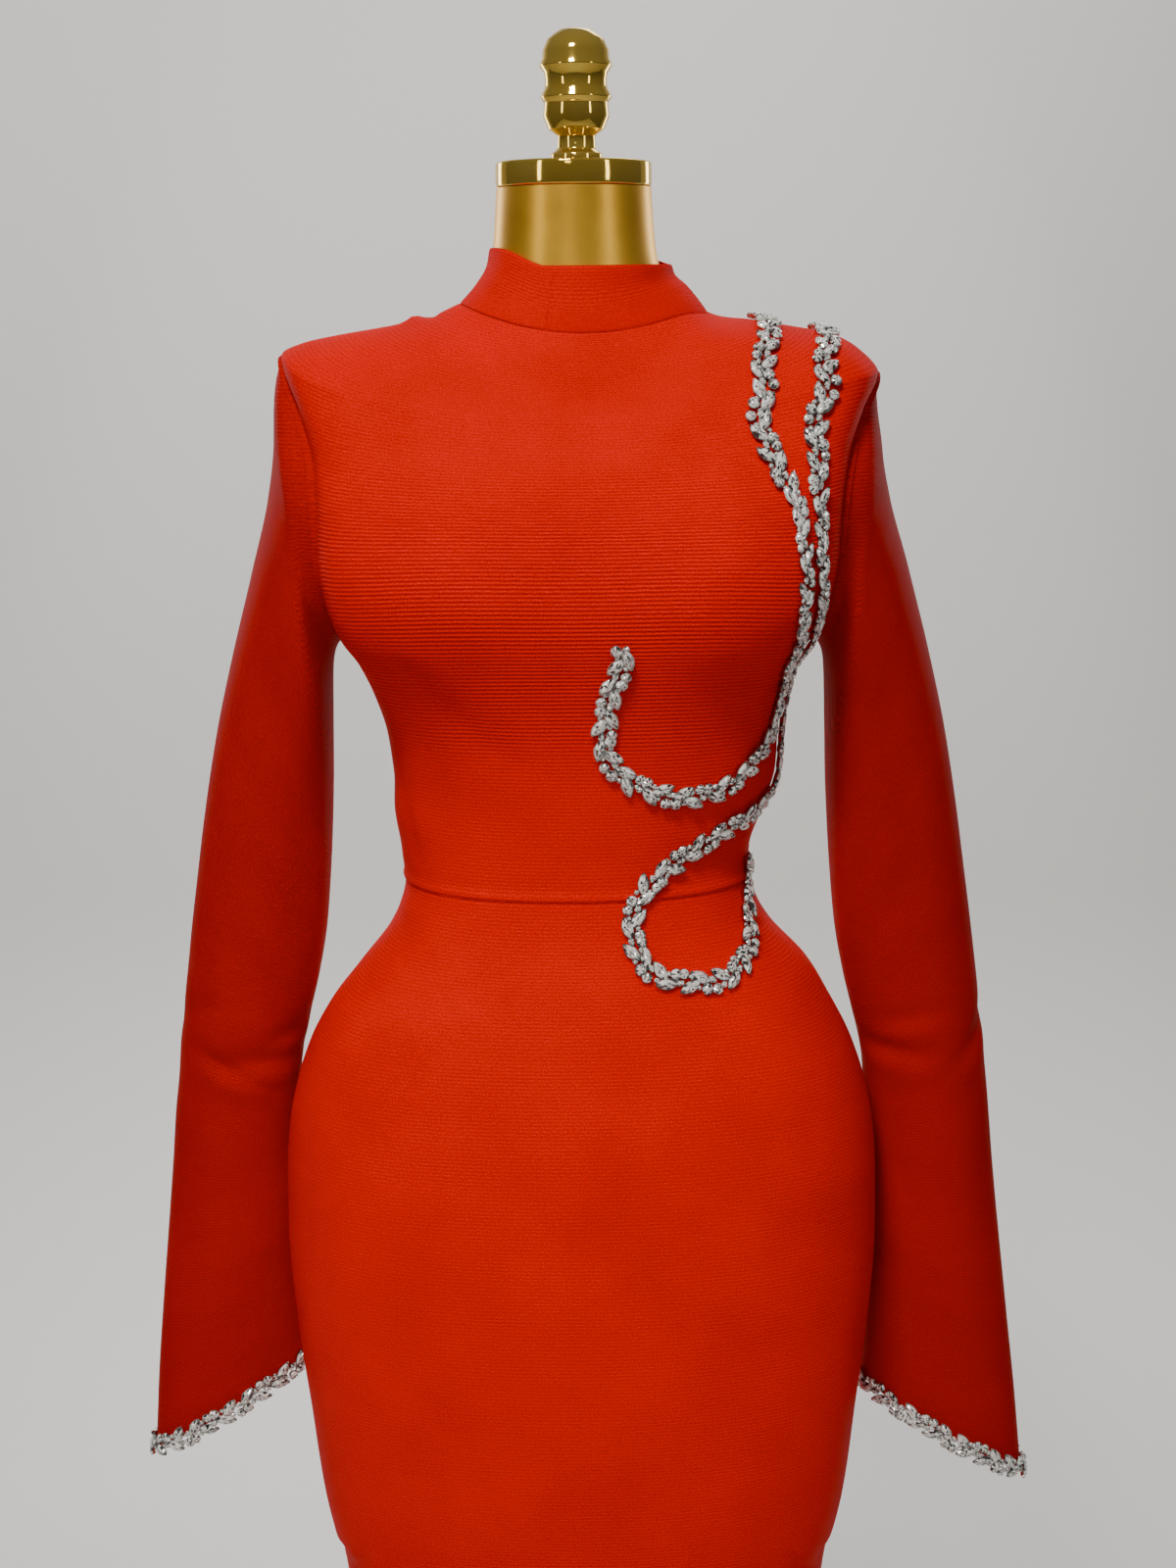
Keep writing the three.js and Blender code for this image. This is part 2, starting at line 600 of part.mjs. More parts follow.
// Turn and height of the point of the body that is nearest to a target, in a few steps
function nearestOnBody(target, turn, up) {
  const place = { turn, up };
  for (let step = 0; step < 4; step += 1) {
    const { round, rise } = surfaceFrame(bodyPoint, place.turn, place.up, hemHeight, neckSeam);
    const miss = target.clone().sub(bodyPoint(place.turn, place.up));
    const a = round.dot(round);
    const b = round.dot(rise);
    const c = rise.dot(rise);
    const first = miss.dot(round);
    const second = miss.dot(rise);
    const area = a * c - b * b;
    place.turn += (0.8 * (first * c - second * b)) / area;
    place.up += (0.8 * (second * a - first * b)) / area;
  }
  return place;
}

// The band round a sleeve's hem, half on the cloth and half below its edge
function cuffTrim(side) {
  const rings = sleeveRings(side, 0);
  const hem = rings[rings.length - 1];
  const above = rings[rings.length - 2];
  const loop = new THREE.CatmullRomCurve3(hem, true, 'centripetal');
  const higher = new THREE.CatmullRomCurve3(above, true, 'centripetal');
  const stations = 2 * Math.round(loop.getLength() / clusterPitch);
  const centre = vec(0, 0, 0);
  hem.forEach((corner) => centre.addScaledVector(corner, 1 / hem.length));
  const bands = [];
  for (let n = 0; n < stations; n += 1) {
    const edge = loop.getPoint(n / stations);
    const up = higher.getPoint(n / stations).sub(edge).normalize();
    const along = loop.getTangent(n / stations);
    const out = along.clone().cross(up).normalize();
    if (out.dot(edge.clone().sub(centre)) < 0) out.negate();
    const height = n % 2 ? trimThin : trimThick;
    bands.push(trimSection.map(({ across, rise }) => edge.clone()
      .addScaledVector(up, trimWide / 2 - cuffTrimDrop + across * trimWide)
      .addScaledVector(out, trimSeat + rise * height)));
  }
  return stackRings(bands, true);
}

// A flat shape with a window, drawn in two directions and thick in the third
function plate(outline, hole, thick) {
  const shape = new THREE.Shape(outline.map(([a, b]) => new THREE.Vector2(a, b)));
  shape.holes.push(new THREE.Path(hole.map(([a, b]) => new THREE.Vector2(a, b))));
  const geometry = new THREE.ExtrudeGeometry(shape, { depth: thick, bevelEnabled: false });
  return geometry.translate(0, 0, -thick / 2);
}

// The slider seen from the side, outwards and upwards from the foot of its plate
function slider() {
  const top = sliderTall - bridgeEnd;
  const reach = sliderPlate + bridgeReach;
  const outline = [
    [0, 0], [sliderPlate, 0], [sliderPlate, bridgeEnd], [reach, bridgeEnd],
    [reach, top], [sliderPlate, top], [sliderPlate, sliderTall], [0, sliderTall],
  ];
  const hole = [
    [sliderPlate, bridgeEnd + bridgeWall], [sliderPlate, top - bridgeWall],
    [reach - bridgeWall, top - bridgeWall], [reach - bridgeWall, bridgeEnd + bridgeWall],
  ];
  return plate(outline, hole, sliderWide)
    .applyMatrix4(new THREE.Matrix4().makeBasis(vec(0, 1, 0), vec(0, 0, 1), vec(1, 0, 0)));
}

// The pull tab seen from the back, with its crossbar at the origin
function pullTab() {
  const half = pullWide / 2;
  const barHalf = pullThick / 2;
  const inside = half - pullArm;
  const outline = [
    [-half, barHalf], [-half, pullCorner - pullLong], [pullCorner - half, -pullLong],
    [half - pullCorner, -pullLong], [half, pullCorner - pullLong], [half, barHalf],
  ];
  const hole = [
    [-inside, -barHalf], [inside, -barHalf],
    [inside, -barHalf - windowTall], [-inside, -barHalf - windowTall],
  ];
  return plate(outline, hole, pullThick).rotateX(Math.PI / 2);
}

const zipFoot = collarPoint(-Math.PI / 2, sliderUp);
const zipRise = collarPoint(-Math.PI / 2, collarTop).sub(zipFoot);
const zipLean = Math.atan2(-zipRise.y, zipRise.z);
const crossbarReach = sliderSeat + sliderPlate + (bridgeReach - bridgeWall) / 2;

const group = new THREE.Group();
function add(name, geometry, material, parent = group) {
  const mesh = new THREE.Mesh(geometry, material);
  mesh.name = name;
  parent.add(mesh);
  return mesh;
}

add('bodice_front', bodyPanel(bodiceRows, frontFrom, frontTo, halfTurnSteps), materials.knit);
add('bodice_back_left', bodyPanel(bodiceRows, backLeftFrom, centreBack, halfTurnSteps / 2), materials.knit);
add('bodice_back_right', bodyPanel(bodiceRows, centreBack, backRightTo, halfTurnSteps / 2), materials.knit);
add('skirt_front', bodyPanel(skirtRows, frontFrom, frontTo, halfTurnSteps), materials.knit);
add('skirt_back_left', bodyPanel(skirtRows, backLeftFrom, centreBack, halfTurnSteps / 2), materials.knit);
add('skirt_back_right', bodyPanel(skirtRows, centreBack, backRightTo, halfTurnSteps / 2), materials.knit);
add('collar', collar(), materials.knit);
add('sleeve_left', sleeve(1), materials.knit);
add('sleeve_right', sleeve(-1), materials.knit);
add('trim_inner', strand(innerStrand), materials.crystal);
add('trim_outer', strand(outerStrand), materials.crystal);
add('trim_cuff_left', cuffTrim(1), materials.crystal);
add('trim_cuff_right', cuffTrim(-1), materials.crystal);
add('zip_slider', slider().translate(0, sliderSeat, 0).rotateX(zipLean)
  .translate(zipFoot.x, zipFoot.y, zipFoot.z), materials.zipMetal);
add('zip_pull', pullTab().rotateX(-pullLean).translate(0, crossbarReach, sliderTall / 2)
  .rotateX(zipLean).translate(zipFoot.x, zipFoot.y, zipFoot.z), materials.zipMetal);
add('form_body', formBody(), materials.goldPaint);

function turned(profile, segments) {
  return new THREE.LatheGeometry(profile.map(([r, z]) => new THREE.Vector2(r, z)), segments)
    .rotateX(Math.PI / 2);
}
add('neck_cap', turned(capProfile, 32), materials.polishedGold).position.x = neckShift;
add('finial', turned(finialProfile, 20), materials.polishedGold).position.x = finialShift;
add('stand_pole', turned(poleProfile, 16), materials.polishedGold);
add('stand_base', turned(baseProfile, 36), materials.polishedGold);

export default group;
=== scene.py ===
# A ribbed, long-sleeved bodycon dress with crystal trim, on a gold dress form and its stand.
# Sizes are in millimetres and turns in degrees, as the dress was drafted, until a mesh is made.
import math
import random
import bpy
import numpy as np
from mathutils import Matrix, Vector


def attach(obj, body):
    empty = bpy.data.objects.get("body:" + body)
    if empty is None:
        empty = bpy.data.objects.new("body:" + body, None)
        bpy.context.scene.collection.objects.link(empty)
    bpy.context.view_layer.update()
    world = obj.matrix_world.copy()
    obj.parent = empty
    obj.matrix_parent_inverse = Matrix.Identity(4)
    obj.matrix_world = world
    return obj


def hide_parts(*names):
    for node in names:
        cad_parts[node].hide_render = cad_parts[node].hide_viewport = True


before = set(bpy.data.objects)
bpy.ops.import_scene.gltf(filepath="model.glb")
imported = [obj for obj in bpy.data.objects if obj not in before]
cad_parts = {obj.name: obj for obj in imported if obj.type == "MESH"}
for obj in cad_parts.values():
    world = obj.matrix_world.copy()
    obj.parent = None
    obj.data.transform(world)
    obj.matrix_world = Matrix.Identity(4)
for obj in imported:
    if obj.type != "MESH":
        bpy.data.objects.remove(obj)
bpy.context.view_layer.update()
BODY = "dress_on_form"
MM = 0.001

# Camera: eye level a little above the shoulders, looking slightly down, as the photograph was
# taken, from about a metre and a half away.
CAMERA = {"place": (0.0068, -1.550, 1.417), "down": 11.5, "lean": -0.5, "lens": 54.1, "sensor": 36}
camera_data = bpy.data.cameras.new("camera")
camera_data.lens = CAMERA["lens"]
camera_data.sensor_width = CAMERA["sensor"]
camera = bpy.data.objects.new("camera", camera_data)
camera.matrix_world = (
    Matrix.Translation(CAMERA["place"])
    @ Matrix.Rotation(math.radians(90 - CAMERA["down"]), 4, "X")
    @ Matrix.Rotation(math.radians(CAMERA["lean"]), 4, "Z")
)
bpy.context.scene.collection.objects.link(camera)
bpy.context.scene.camera = camera


# Helpers for materials: a node with its constants and what feeds it, a sum, a ramp and a bump.
def add_node(tree, kind, constants=None, feeds=None, **settings):
    node = tree.nodes.new("ShaderNode" + kind)
    for name, value in settings.items():
        setattr(node, name, value)
    for socket, value in (constants or {}).items():
        node.inputs[socket].default_value = value
    for socket, source in (feeds or {}).items():
        tree.links.new(source, node.inputs[socket])
    return node


def calculate(tree, kind, operation, *terms):
    node = add_node(tree, kind, operation=operation)
    for socket, term in zip(node.inputs, terms):
        if isinstance(term, bpy.types.NodeSocket):
            tree.links.new(term, socket)
        else:
            socket.default_value = term
    return node.outputs["Value" if operation == "LENGTH" else 0]


def tone_ramp(tree, source, stops, interpolation="LINEAR"):
    node = add_node(tree, "ValToRGB", feeds={"Fac": source})
    ramp = node.color_ramp
    ramp.interpolation = interpolation
    first, *between, last = stops
    for element, (position, colour) in zip(ramp.elements, (first, last)):
        element.position, element.color = position, (*colour, 1)
    for position, colour in between:
        ramp.elements.new(position).color = (*colour, 1)
    return node.outputs["Color"]


def add_bump(tree, shader, height, strength, distance):
    bump = add_node(tree, "Bump", {"Strength": strength, "Distance": distance}, {"Height": height})
    tree.links.new(bump.outputs["Normal"], shader.inputs["Normal"])


def new_material(name, constants):
    material = bpy.data.materials.new(name)
    material.use_nodes = True
    tree = material.node_tree
    shader = tree.nodes["Principled BSDF"]
    for socket, value in constants.items():
        shader.inputs[socket].default_value = value
    return material, tree, shader


# Helpers for pieces: a mesh made into an object, chosen alone, and what it rides on and stands for.
def choose(*pieces):
    bpy.ops.object.select_all(action="DESELECT")
    for piece in pieces:
        piece.select_set(True)
    bpy.context.view_layer.objects.active = pieces[0]


def add_piece(name, verts, edges, faces):
    mesh = bpy.data.meshes.new(name)
    mesh.from_pydata(verts, edges, faces)
    piece = bpy.data.objects.new(name, mesh)
    bpy.context.scene.collection.objects.link(piece)
    choose(piece)
    return piece


def stand_for(piece, node):
    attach(piece, BODY)
    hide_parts(node)


# Soft studio light: a warm key above and in front, a narrow one on the skirt, strips at both
# sides, weak lamps behind, one on the backdrop, and a room that is pale above and dim below.
WARM, WHITE = (1.0, 0.96, 0.90), (1, 1, 1)
ALL_ROUND = 180
# Name, place, aim, width and height, watts, colour, spread in degrees
LAMPS = [
    ("key_lamp", (-0.35, -1.3, 2.85), (0, 0, 1.0), (0.4, 0.3), 40, WARM, ALL_ROUND),
    ("skirt_lamp", (-0.3, -2.1, 1.9), (-0.03, 0, 0.7), (0.3, 0.3), 0.7, WARM, 34),
    ("left_strip", (-1.2, -1.0, 1.75), (0, 0, 1.5), (0.14, 0.9), 2.2, WHITE, ALL_ROUND),
    ("right_strip", (1.2, -1.0, 1.75), (0, 0, 1.5), (0.14, 0.9), 2.2, WHITE, ALL_ROUND),
    ("back_lamp", (0.4, 1.4, 2.6), (0, 0, 1.2), (1.0, 0.6), 5, WHITE, ALL_ROUND),
    ("rear_lamp_left", (-1.15, 1.25, 1.5), (0, 0, 1.1), (0.3, 0.9), 5, WHITE, ALL_ROUND),
    ("rear_lamp_right", (1.15, 1.25, 1.5), (0, 0, 1.1), (0.3, 0.9), 5, WHITE, ALL_ROUND),
    ("wall_lamp", (-0.3, 0.8, 3.0), (-0.3, 1.7, 0.4), (2.6, 0.3), 14, WHITE, 84),
]
for name, place, aim, size, watts, colour, spread_degrees in LAMPS:
    lamp = bpy.data.lights.new(name, "AREA")
    lamp.shape = "RECTANGLE"
    lamp.size, lamp.size_y = size
    lamp.energy = watts
    lamp.color = colour
    lamp.spread = math.radians(spread_degrees)
    holder = bpy.data.objects.new(name, lamp)
    holder.location = place
    holder.rotation_euler = (Vector(aim) - Vector(place)).to_track_quat("-Z", "Y").to_euler()
    bpy.context.scene.collection.objects.link(holder)

world = bpy.data.worlds.new("room")
bpy.context.scene.world = world
world.use_nodes = True
room = world.node_tree
direction = add_node(room, "TexCoord")
split = add_node(room, "SeparateXYZ", feeds={0: direction.outputs["Generated"]})
height = add_node(room, "MapRange", {"From Min": -0.6, "From Max": 0.9}, {"Value": split.outputs["Z"]})
room_tone = tone_ramp(room, height.outputs["Result"], [(0, (0.10, 0.10, 0.10)), (1, (0.95, 0.95, 0.96))])
sky = room.nodes["Background"]
room.links.new(room_tone, sky.inputs["Color"])
sky.inputs["Strength"].default_value = 0.18


# Floor and backdrop: one pale sheet that lies under the stand and curves up behind it. It is
# seen from the front only, so the dress can be looked at from behind too.
def backdrop():
    floor_front, floor_back, radius, top, half_width, steps = -3.0, 1.1, 0.6, 3.2, 3.5, 12
    line = [(floor_front, 0.0)]
    for step in range(steps + 1):
        angle = math.radians(90 * step / steps)
        line.append((floor_back + radius * math.sin(angle), radius - radius * math.cos(angle)))
    line.append((floor_back + radius, top))
    verts = [(x, y, z) for x in (-half_width, half_width) for y, z in line]
    count = len(line)
    faces = [(i, count + i, count + i + 1, i + 1) for i in range(count - 1)]
    sheet = add_piece("backdrop", verts, [], faces)
    for face in sheet.data.polygons:
        face.use_smooth = True
    paper, tree, shader = new_material("backdrop_paper", {"Base Color": (0.78, 0.77, 0.75, 1), "Roughness": 0.9})
    side = add_node(tree, "NewGeometry").outputs["Backfacing"]
    clear = add_node(tree, "BsdfTransparent").outputs[0]
    either = add_node(tree, "MixShader", feeds={0: side, 1: shader.outputs[0], 2: clear})
    tree.links.new(either.outputs[0], tree.nodes["Material Output"].inputs["Surface"])
    sheet.data.materials.append(paper)


backdrop()


# Dress body: a red bandage knit, worn close. Its level lines run round the figure, one row for
# each height at the side: up, half width, reach in front, reach behind, fullness of the corners,
# height at the centre front, height at the centre back, shift to the side.
BODY_LINES = [
    (240, 150, 84, 84, 0.02, 240, 240, 0),
    (320, 152, 86, 88, 0.02, 320, 320, 0),
    (430, 160, 93, 97, 0.02, 430, 430, 0),
    (525, 168.5, 100, 105, 0.03, 525, 525, 0),
    (556, 173, 103, 109, 0.03, 556, 556, 0),
    (572, 179, 105.5, 112, 0.03, 572, 572, 0),
    (602, 185, 108, 116, 0.03, 602, 602, 0),
    (662, 192, 111, 123, 0.03, 662, 662, 0),
    (722, 199, 113, 129, 0.03, 722, 722, 0),
    (790, 203.5, 114, 134, 0.03, 790, 790, 0),
    (835, 203, 114, 136, 0.03, 835, 835, 0),
    (867, 200.5, 113, 135, 0.03, 867, 867, 0),
    (895, 195, 111, 131, 0.03, 895, 895, 0),
    (923, 186, 108, 125, 0.03, 923, 923, 0),
    (951, 171.5, 104, 116, 0.03, 951, 951, 0.5),
    (979, 152.5, 98.5, 105, 0.025, 979, 979, 3),
    (1007, 129, 92, 92, 0.02, 1007, 1007, 1),
    (1022, 121, 89.5, 86, 0.02, 1022, 1022, 0),
    (1040, 116, 88, 82, 0.02, 1040, 1040, -1),
    (1061, 117, 88, 80, 0.02, 1061, 1061, -2),
    (1088, 123.5, 89.5, 82, 0.02, 1088, 1088, 0.5),
    (1115, 127.5, 92, 86, 0.03, 1115, 1115, 4.5),
    (1142, 130, 95, 90, 0.04, 1142, 1142, 3.5),
    (1168, 136, 98.5, 94, 0.05, 1168, 1168, 1.5),
    (1190, 143.5, 101, 97, 0.07, 1190, 1190, 0),
    (1208, 154, 102.5, 98.5, 0.09, 1208, 1208, 0),
    (1235, 162, 103.5, 100, 0.11, 1234, 1235, 1),
    (1260, 165, 103, 100.5, 0.12, 1257, 1259, 2),
    (1297, 167, 100, 100, 0.12, 1287, 1291, 3),
    (1330, 172, 95.5, 97.5, 0.11, 1311, 1317, 4),
    (1360, 181, 90, 93, 0.1, 1330, 1339, 4),
    (1388, 191.5, 85.5, 88, 0.08, 1346, 1357, 4),
    (1395, 177, 82, 84.5, 0.08, 1354, 1367, 4),
    (1399, 158, 78.5, 81, 0.07, 1362, 1377, 4),
    (1403, 134, 74.5, 77, 0.06, 1373, 1391, 4.5),
    (1407, 112, 70, 73, 0.04, 1385, 1406, 5.5),
    (1412, 95, 66.5, 70.5, 0.02, 1393, 1418, 6.5),
    (1419, 80, 64, 68, 0, 1400, 1429, 7),
]
HEM, WAIST, NECK = 240, 1042, 1419
ARMPIT, SHOULDER_TIP, ARMHOLE_TURN = 1205, 1388, 27
CLOTH_WALL = 1.5
SEAM_GAP = 0.3
BUST = {"apart": 160, "up": 1238, "out": 28, "wide": 50, "above": 58, "below": 44}
TIP_DROP = {"down": 13, "start": 155, "full": 195.5, "power": 2.2, "from": 1240, "to": 1365}
NECK_DROP = {"down": 7.5, "aside": 87, "spread": 13, "deep": 60, "from": 1370, "to": 1395}


def smooth_table(rows):
    table = np.array(rows, float)
    keys, values = table[:, 0], table[:, 1:]
    gaps = np.diff(keys)[:, None]
    steps = np.diff(values, axis=0) / gaps
    slopes = np.empty_like(values)
    slopes[0], slopes[-1] = steps[0], steps[-1]
    before = 2 * gaps[1:] + gaps[:-1]
    after = gaps[1:] + 2 * gaps[:-1]
    same = steps[:-1] * steps[1:] > 0
    low, high = np.where(same, steps[:-1], 1), np.where(same, steps[1:], 1)
    slopes[1:-1] = np.where(same, (before + after) / (before / low + after / high), 0)

    def read(stations):
        key = np.clip(np.asarray(stations, float), keys[0], keys[-1])
        i = np.clip(np.searchsorted(keys, key, side="right") - 1, 0, len(keys) - 2)
        span = (keys[i + 1] - keys[i])[..., None]
        t = (key - keys[i])[..., None] / span
        return (
            (1 + 2 * t) * (1 - t) ** 2 * values[i] + t * (1 - t) ** 2 * span * slopes[i]
            + t * t * (3 - 2 * t) * values[i + 1] + t * t * (t - 1) * span * slopes[i + 1]
        )

    return read


def ease(value, low, high):
    t = np.clip((value - low) / (high - low), 0, 1)
    return t * t * (3 - 2 * t)


body_line = smooth_table(BODY_LINES)


def line_point(line, up, turn):
    half, front, back, square, front_up, back_up, shift = np.moveaxis(line, -1, 0)
    across, along = np.cos(turn), np.sin(turn)
    reach = np.where(along >= 0, front, back)
    centre_up = np.where(along >= 0, front_up, back_up)
    fill = 1 - square
    return np.stack([
        shift + half * (across - square * np.cos(3 * turn)) / fill,
        -reach * (along + square * np.sin(3 * turn)) / fill,
        up + (centre_up - up) * along ** 2,
    ], axis=-1)


def settled(point, neck_share=1.0):
    x, y, z = np.moveaxis(point, -1, 0)
    tip = np.clip((x - TIP_DROP["start"]) / (TIP_DROP["full"] - TIP_DROP["start"]), 0, 1)
    near = np.exp(-0.5 * ((x - NECK_DROP["aside"]) / NECK_DROP["spread"]) ** 2)
    near = near * np.maximum(0, 1 - (y / NECK_DROP["deep"]) ** 2) ** 2
    fall = TIP_DROP["down"] * ease(z, TIP_DROP["from"], TIP_DROP["to"]) * tip ** TIP_DROP["power"]
    fall = fall + NECK_DROP["down"] * ease(z, NECK_DROP["from"], NECK_DROP["to"]) * near * neck_share
    return np.stack([x, y, z - fall], axis=-1)


def body_point(turn, up):
    up = np.clip(up, HEM, NECK)
    line = body_line(up)
    point = line_point(line, up, turn)
    shift = line[..., 6]
    x, y, z = np.moveaxis(point, -1, 0)
    rise = z - BUST["up"]
    spread = np.where(rise > 0, BUST["above"], BUST["below"])
    level = np.exp(-0.5 * (rise / spread) ** 2) * np.minimum(1, 3 * np.sin(turn) ** 2)
    level = np.where(np.sin(turn) > 0, level, 0)
    for side in (-1, 1):
        aside = (x - shift - side * BUST["apart"] / 2) / BUST["wide"]
        y = y - BUST["out"] * level * np.exp(-0.5 * aside ** 2)
    return settled(np.stack([x, y, z], axis=-1))


def surface_frame(surface, turn, up, low, high):
    turn_step, up_step = 0.002, 0.3
    above, below = np.minimum(up + up_step, high), np.maximum(up - up_step, low)
    around = (surface(turn + turn_step, up) - surface(turn - turn_step, up)) / (2 * turn_step)
    rise = (surface(turn, above) - surface(turn, below)) / (above - below)[..., None]
    out = np.cross(rise, around)
    return around, rise, out / np.linalg.norm(out, axis=-1, keepdims=True)


def armhole_angle(up):
    middle, reach = (ARMPIT + SHOULDER_TIP) / 2, (SHOULDER_TIP - ARMPIT) / 2
    share = np.clip((up - middle) / reach, -1, 1)
    return math.radians(ARMHOLE_TURN) * np.sqrt(1 - share ** 2)


# Soft creases in the cloth on the body: turn, up, tilt of the crease from level, half length,
# half width, depth. A crease has a low ridge above it.
BODY_CREASES = [
    (152, 1086, 78, 34, 6, 1.1),
    (119, 1160, 52, 46, 12, 1.4),
    (38, 1128, -35, 26, 7, 0.8),
    (148, 566, -28, 42, 4, 1.6),
    (36, 564, 28, 36, 4, 1.6),
    (166, 560, -12, 30, 4, 1.2),
    (20, 560, 12, 26, 4, 1.1),
    (112, 548, -4, 60, 7, 0.7),
    (70, 546, 5, 52, 8, 0.6),
    (128, 1394, 40, 16, 4, 0.9),
    (162, 1012, 14, 24, 7, 0.8),
    (20, 1010, -12, 22, 6, 0.7),
    (-62, 1052, 16, 44, 7, 1.3),
    (-116, 1060, -14, 52, 8, 1.5),
    (-80, 1022, 4, 60, 9, 1.2),
    (-104, 1088, -8, 40, 8, 1.0),
    (-70, 1180, 30, 50, 12, 1.0),
    (-112, 1196, -34, 44, 11, 1.1),
    (-92, 652, 3, 80, 10, 0.9),
    (-74, 566, 14, 48, 5, 1.3),
    (-112, 562, -12, 44, 5, 1.4),
]


# A pucker across the wearer's right shoulder: a low ridge with a dip on its neck side
PUCKER = {"up": 1408, "high": 3.4, "wide": 1.3, "reach": 20}


def pucker_relief(turn, up):
    off_shoulder = (np.abs(turn) - math.pi) * body_line(up)[..., 1]
    rise = (up - PUCKER["up"]) / PUCKER["wide"]
    ridge = np.exp(-rise ** 2) - 0.5 * np.exp(-((rise - 2.2) / 1.2) ** 2)
    return PUCKER["high"] * ridge * np.exp(-((off_shoulder / PUCKER["reach"]) ** 2))


def crease_relief(turn, up):
    relief = pucker_relief(turn, up)
    reach = body_line(up)[..., 0]
    for at_turn, at_up, tilt, long, wide, deep in BODY_CREASES:
        across = (turn - math.radians(at_turn)) * reach
        rise = up - at_up
        cos, sin = math.cos(math.radians(tilt)), math.sin(math.radians(tilt))
        along, aside = across * cos + rise * sin, rise * cos - across * sin
        bow = aside - 0.12 * along ** 2 / long
        trough = np.exp(-((bow / wide) ** 2)) - 0.45 * np.exp(-(((bow - 2 * wide) / (1.4 * wide)) ** 2))
        relief -= deep * trough * np.exp(-((along / long) ** 2))
    return relief


def cloth_mesh(name, outside, inside, around, along, tube=False):
    rows, columns = outside.shape[:2]
    verts = np.concatenate([outside.reshape(-1, 3), inside.reshape(-1, 3)]) * MM
    layer = rows * columns
    last = columns if tube else columns - 1
    i, j = np.meshgrid(np.arange(rows - 1), np.arange(last), indexing="ij")
    a, b = i * columns + j, i * columns + (j + 1) % columns
    c, d = b + columns, a + columns
    skin = np.stack([a, b, c, d], axis=-1).reshape(-1, 4)
    back = np.stack([d, c, b, a], axis=-1).reshape(-1, 4) + layer
    rims = []
    for row in (0, rows - 1):
        k = np.arange(last)
        e, f = row * columns + k, row * columns + (k + 1) % columns
        rim = [e, e + layer, f + layer, f] if row == 0 else [f, f + layer, e + layer, e]
        rims.append(np.stack(rim, axis=-1))
    if not tube:
        for column in (0, columns - 1):
            k = np.arange(rows - 1)
            e, f = k * columns + column, (k + 1) * columns + column
            rim = [f, f + layer, e + layer, e] if column == 0 else [e, e + layer, f + layer, f]
            rims.append(np.stack(rim, axis=-1))
    faces = np.concatenate([skin, back] + rims)
    normal = np.cross(outside[0, 1] - outside[0, 0], outside[1, 0] - outside[0, 0])
    if np.dot(normal, outside[0, 0] - inside[0, 0]) < 0:
        faces = faces[:, ::-1]
    piece = add_piece(name, verts.tolist(), [], faces.tolist())
    uv = np.stack([around, along], axis=-1).reshape(-1, 2) * MM
    uv = np.concatenate([uv, uv])
    corners = uv[faces.reshape(-1)].reshape(-1, 4, 2)
    if tube:
        full_turn = uv[:, 0].max() * columns / (columns - 1)
        wide = corners[..., 0].max(axis=1) - corners[..., 0].min(axis=1)
        closing = corners[wide > 0.5 * full_turn]
        closing[..., 0] += np.where(closing[..., 0] < 0.5 * full_turn, full_turn, 0)
        corners[wide > 0.5 * full_turn] = closing
    piece.data.uv_layers.new(name="courses").data.foreach_set("uv", corners.reshape(-1))
    piece.data.validate()
    bpy.ops.object.shade_smooth_by_angle(angle=math.radians(50))
    return piece


# Knit: courses and stitches from the cloth's own lengths, and how strongly each part shows. The
# courses stand out over the bust, where the light grazes them, in relief and in painted light and
# shade: axis, where it begins, where it is full.
RIB_PITCH, STITCH_PITCH = 0.0024, 0.0013
BUST_REACH = (("Z", 1.11, 1.19), ("Z", 1.34, 1.26), ("Y", 0.03, -0.04))
RIB_SHOWS = {"relaxed": 0.45, "body": 0.4, "bust": 0.85, "wander": 1.4}
KNIT_HEIGHT = {"rib": 0.8, "stitch": 0.2, "yarn": 0.9, "strength": 0.7, "distance": 0.00036}
# Tones: random yarn and cloud, and painted light and shade along the ribs.
KNIT_TONE = {"yarn": 0.75, "cloud": 0.25, "rib": 0.10, "darkest": 0.25, "lightest": 0.8}


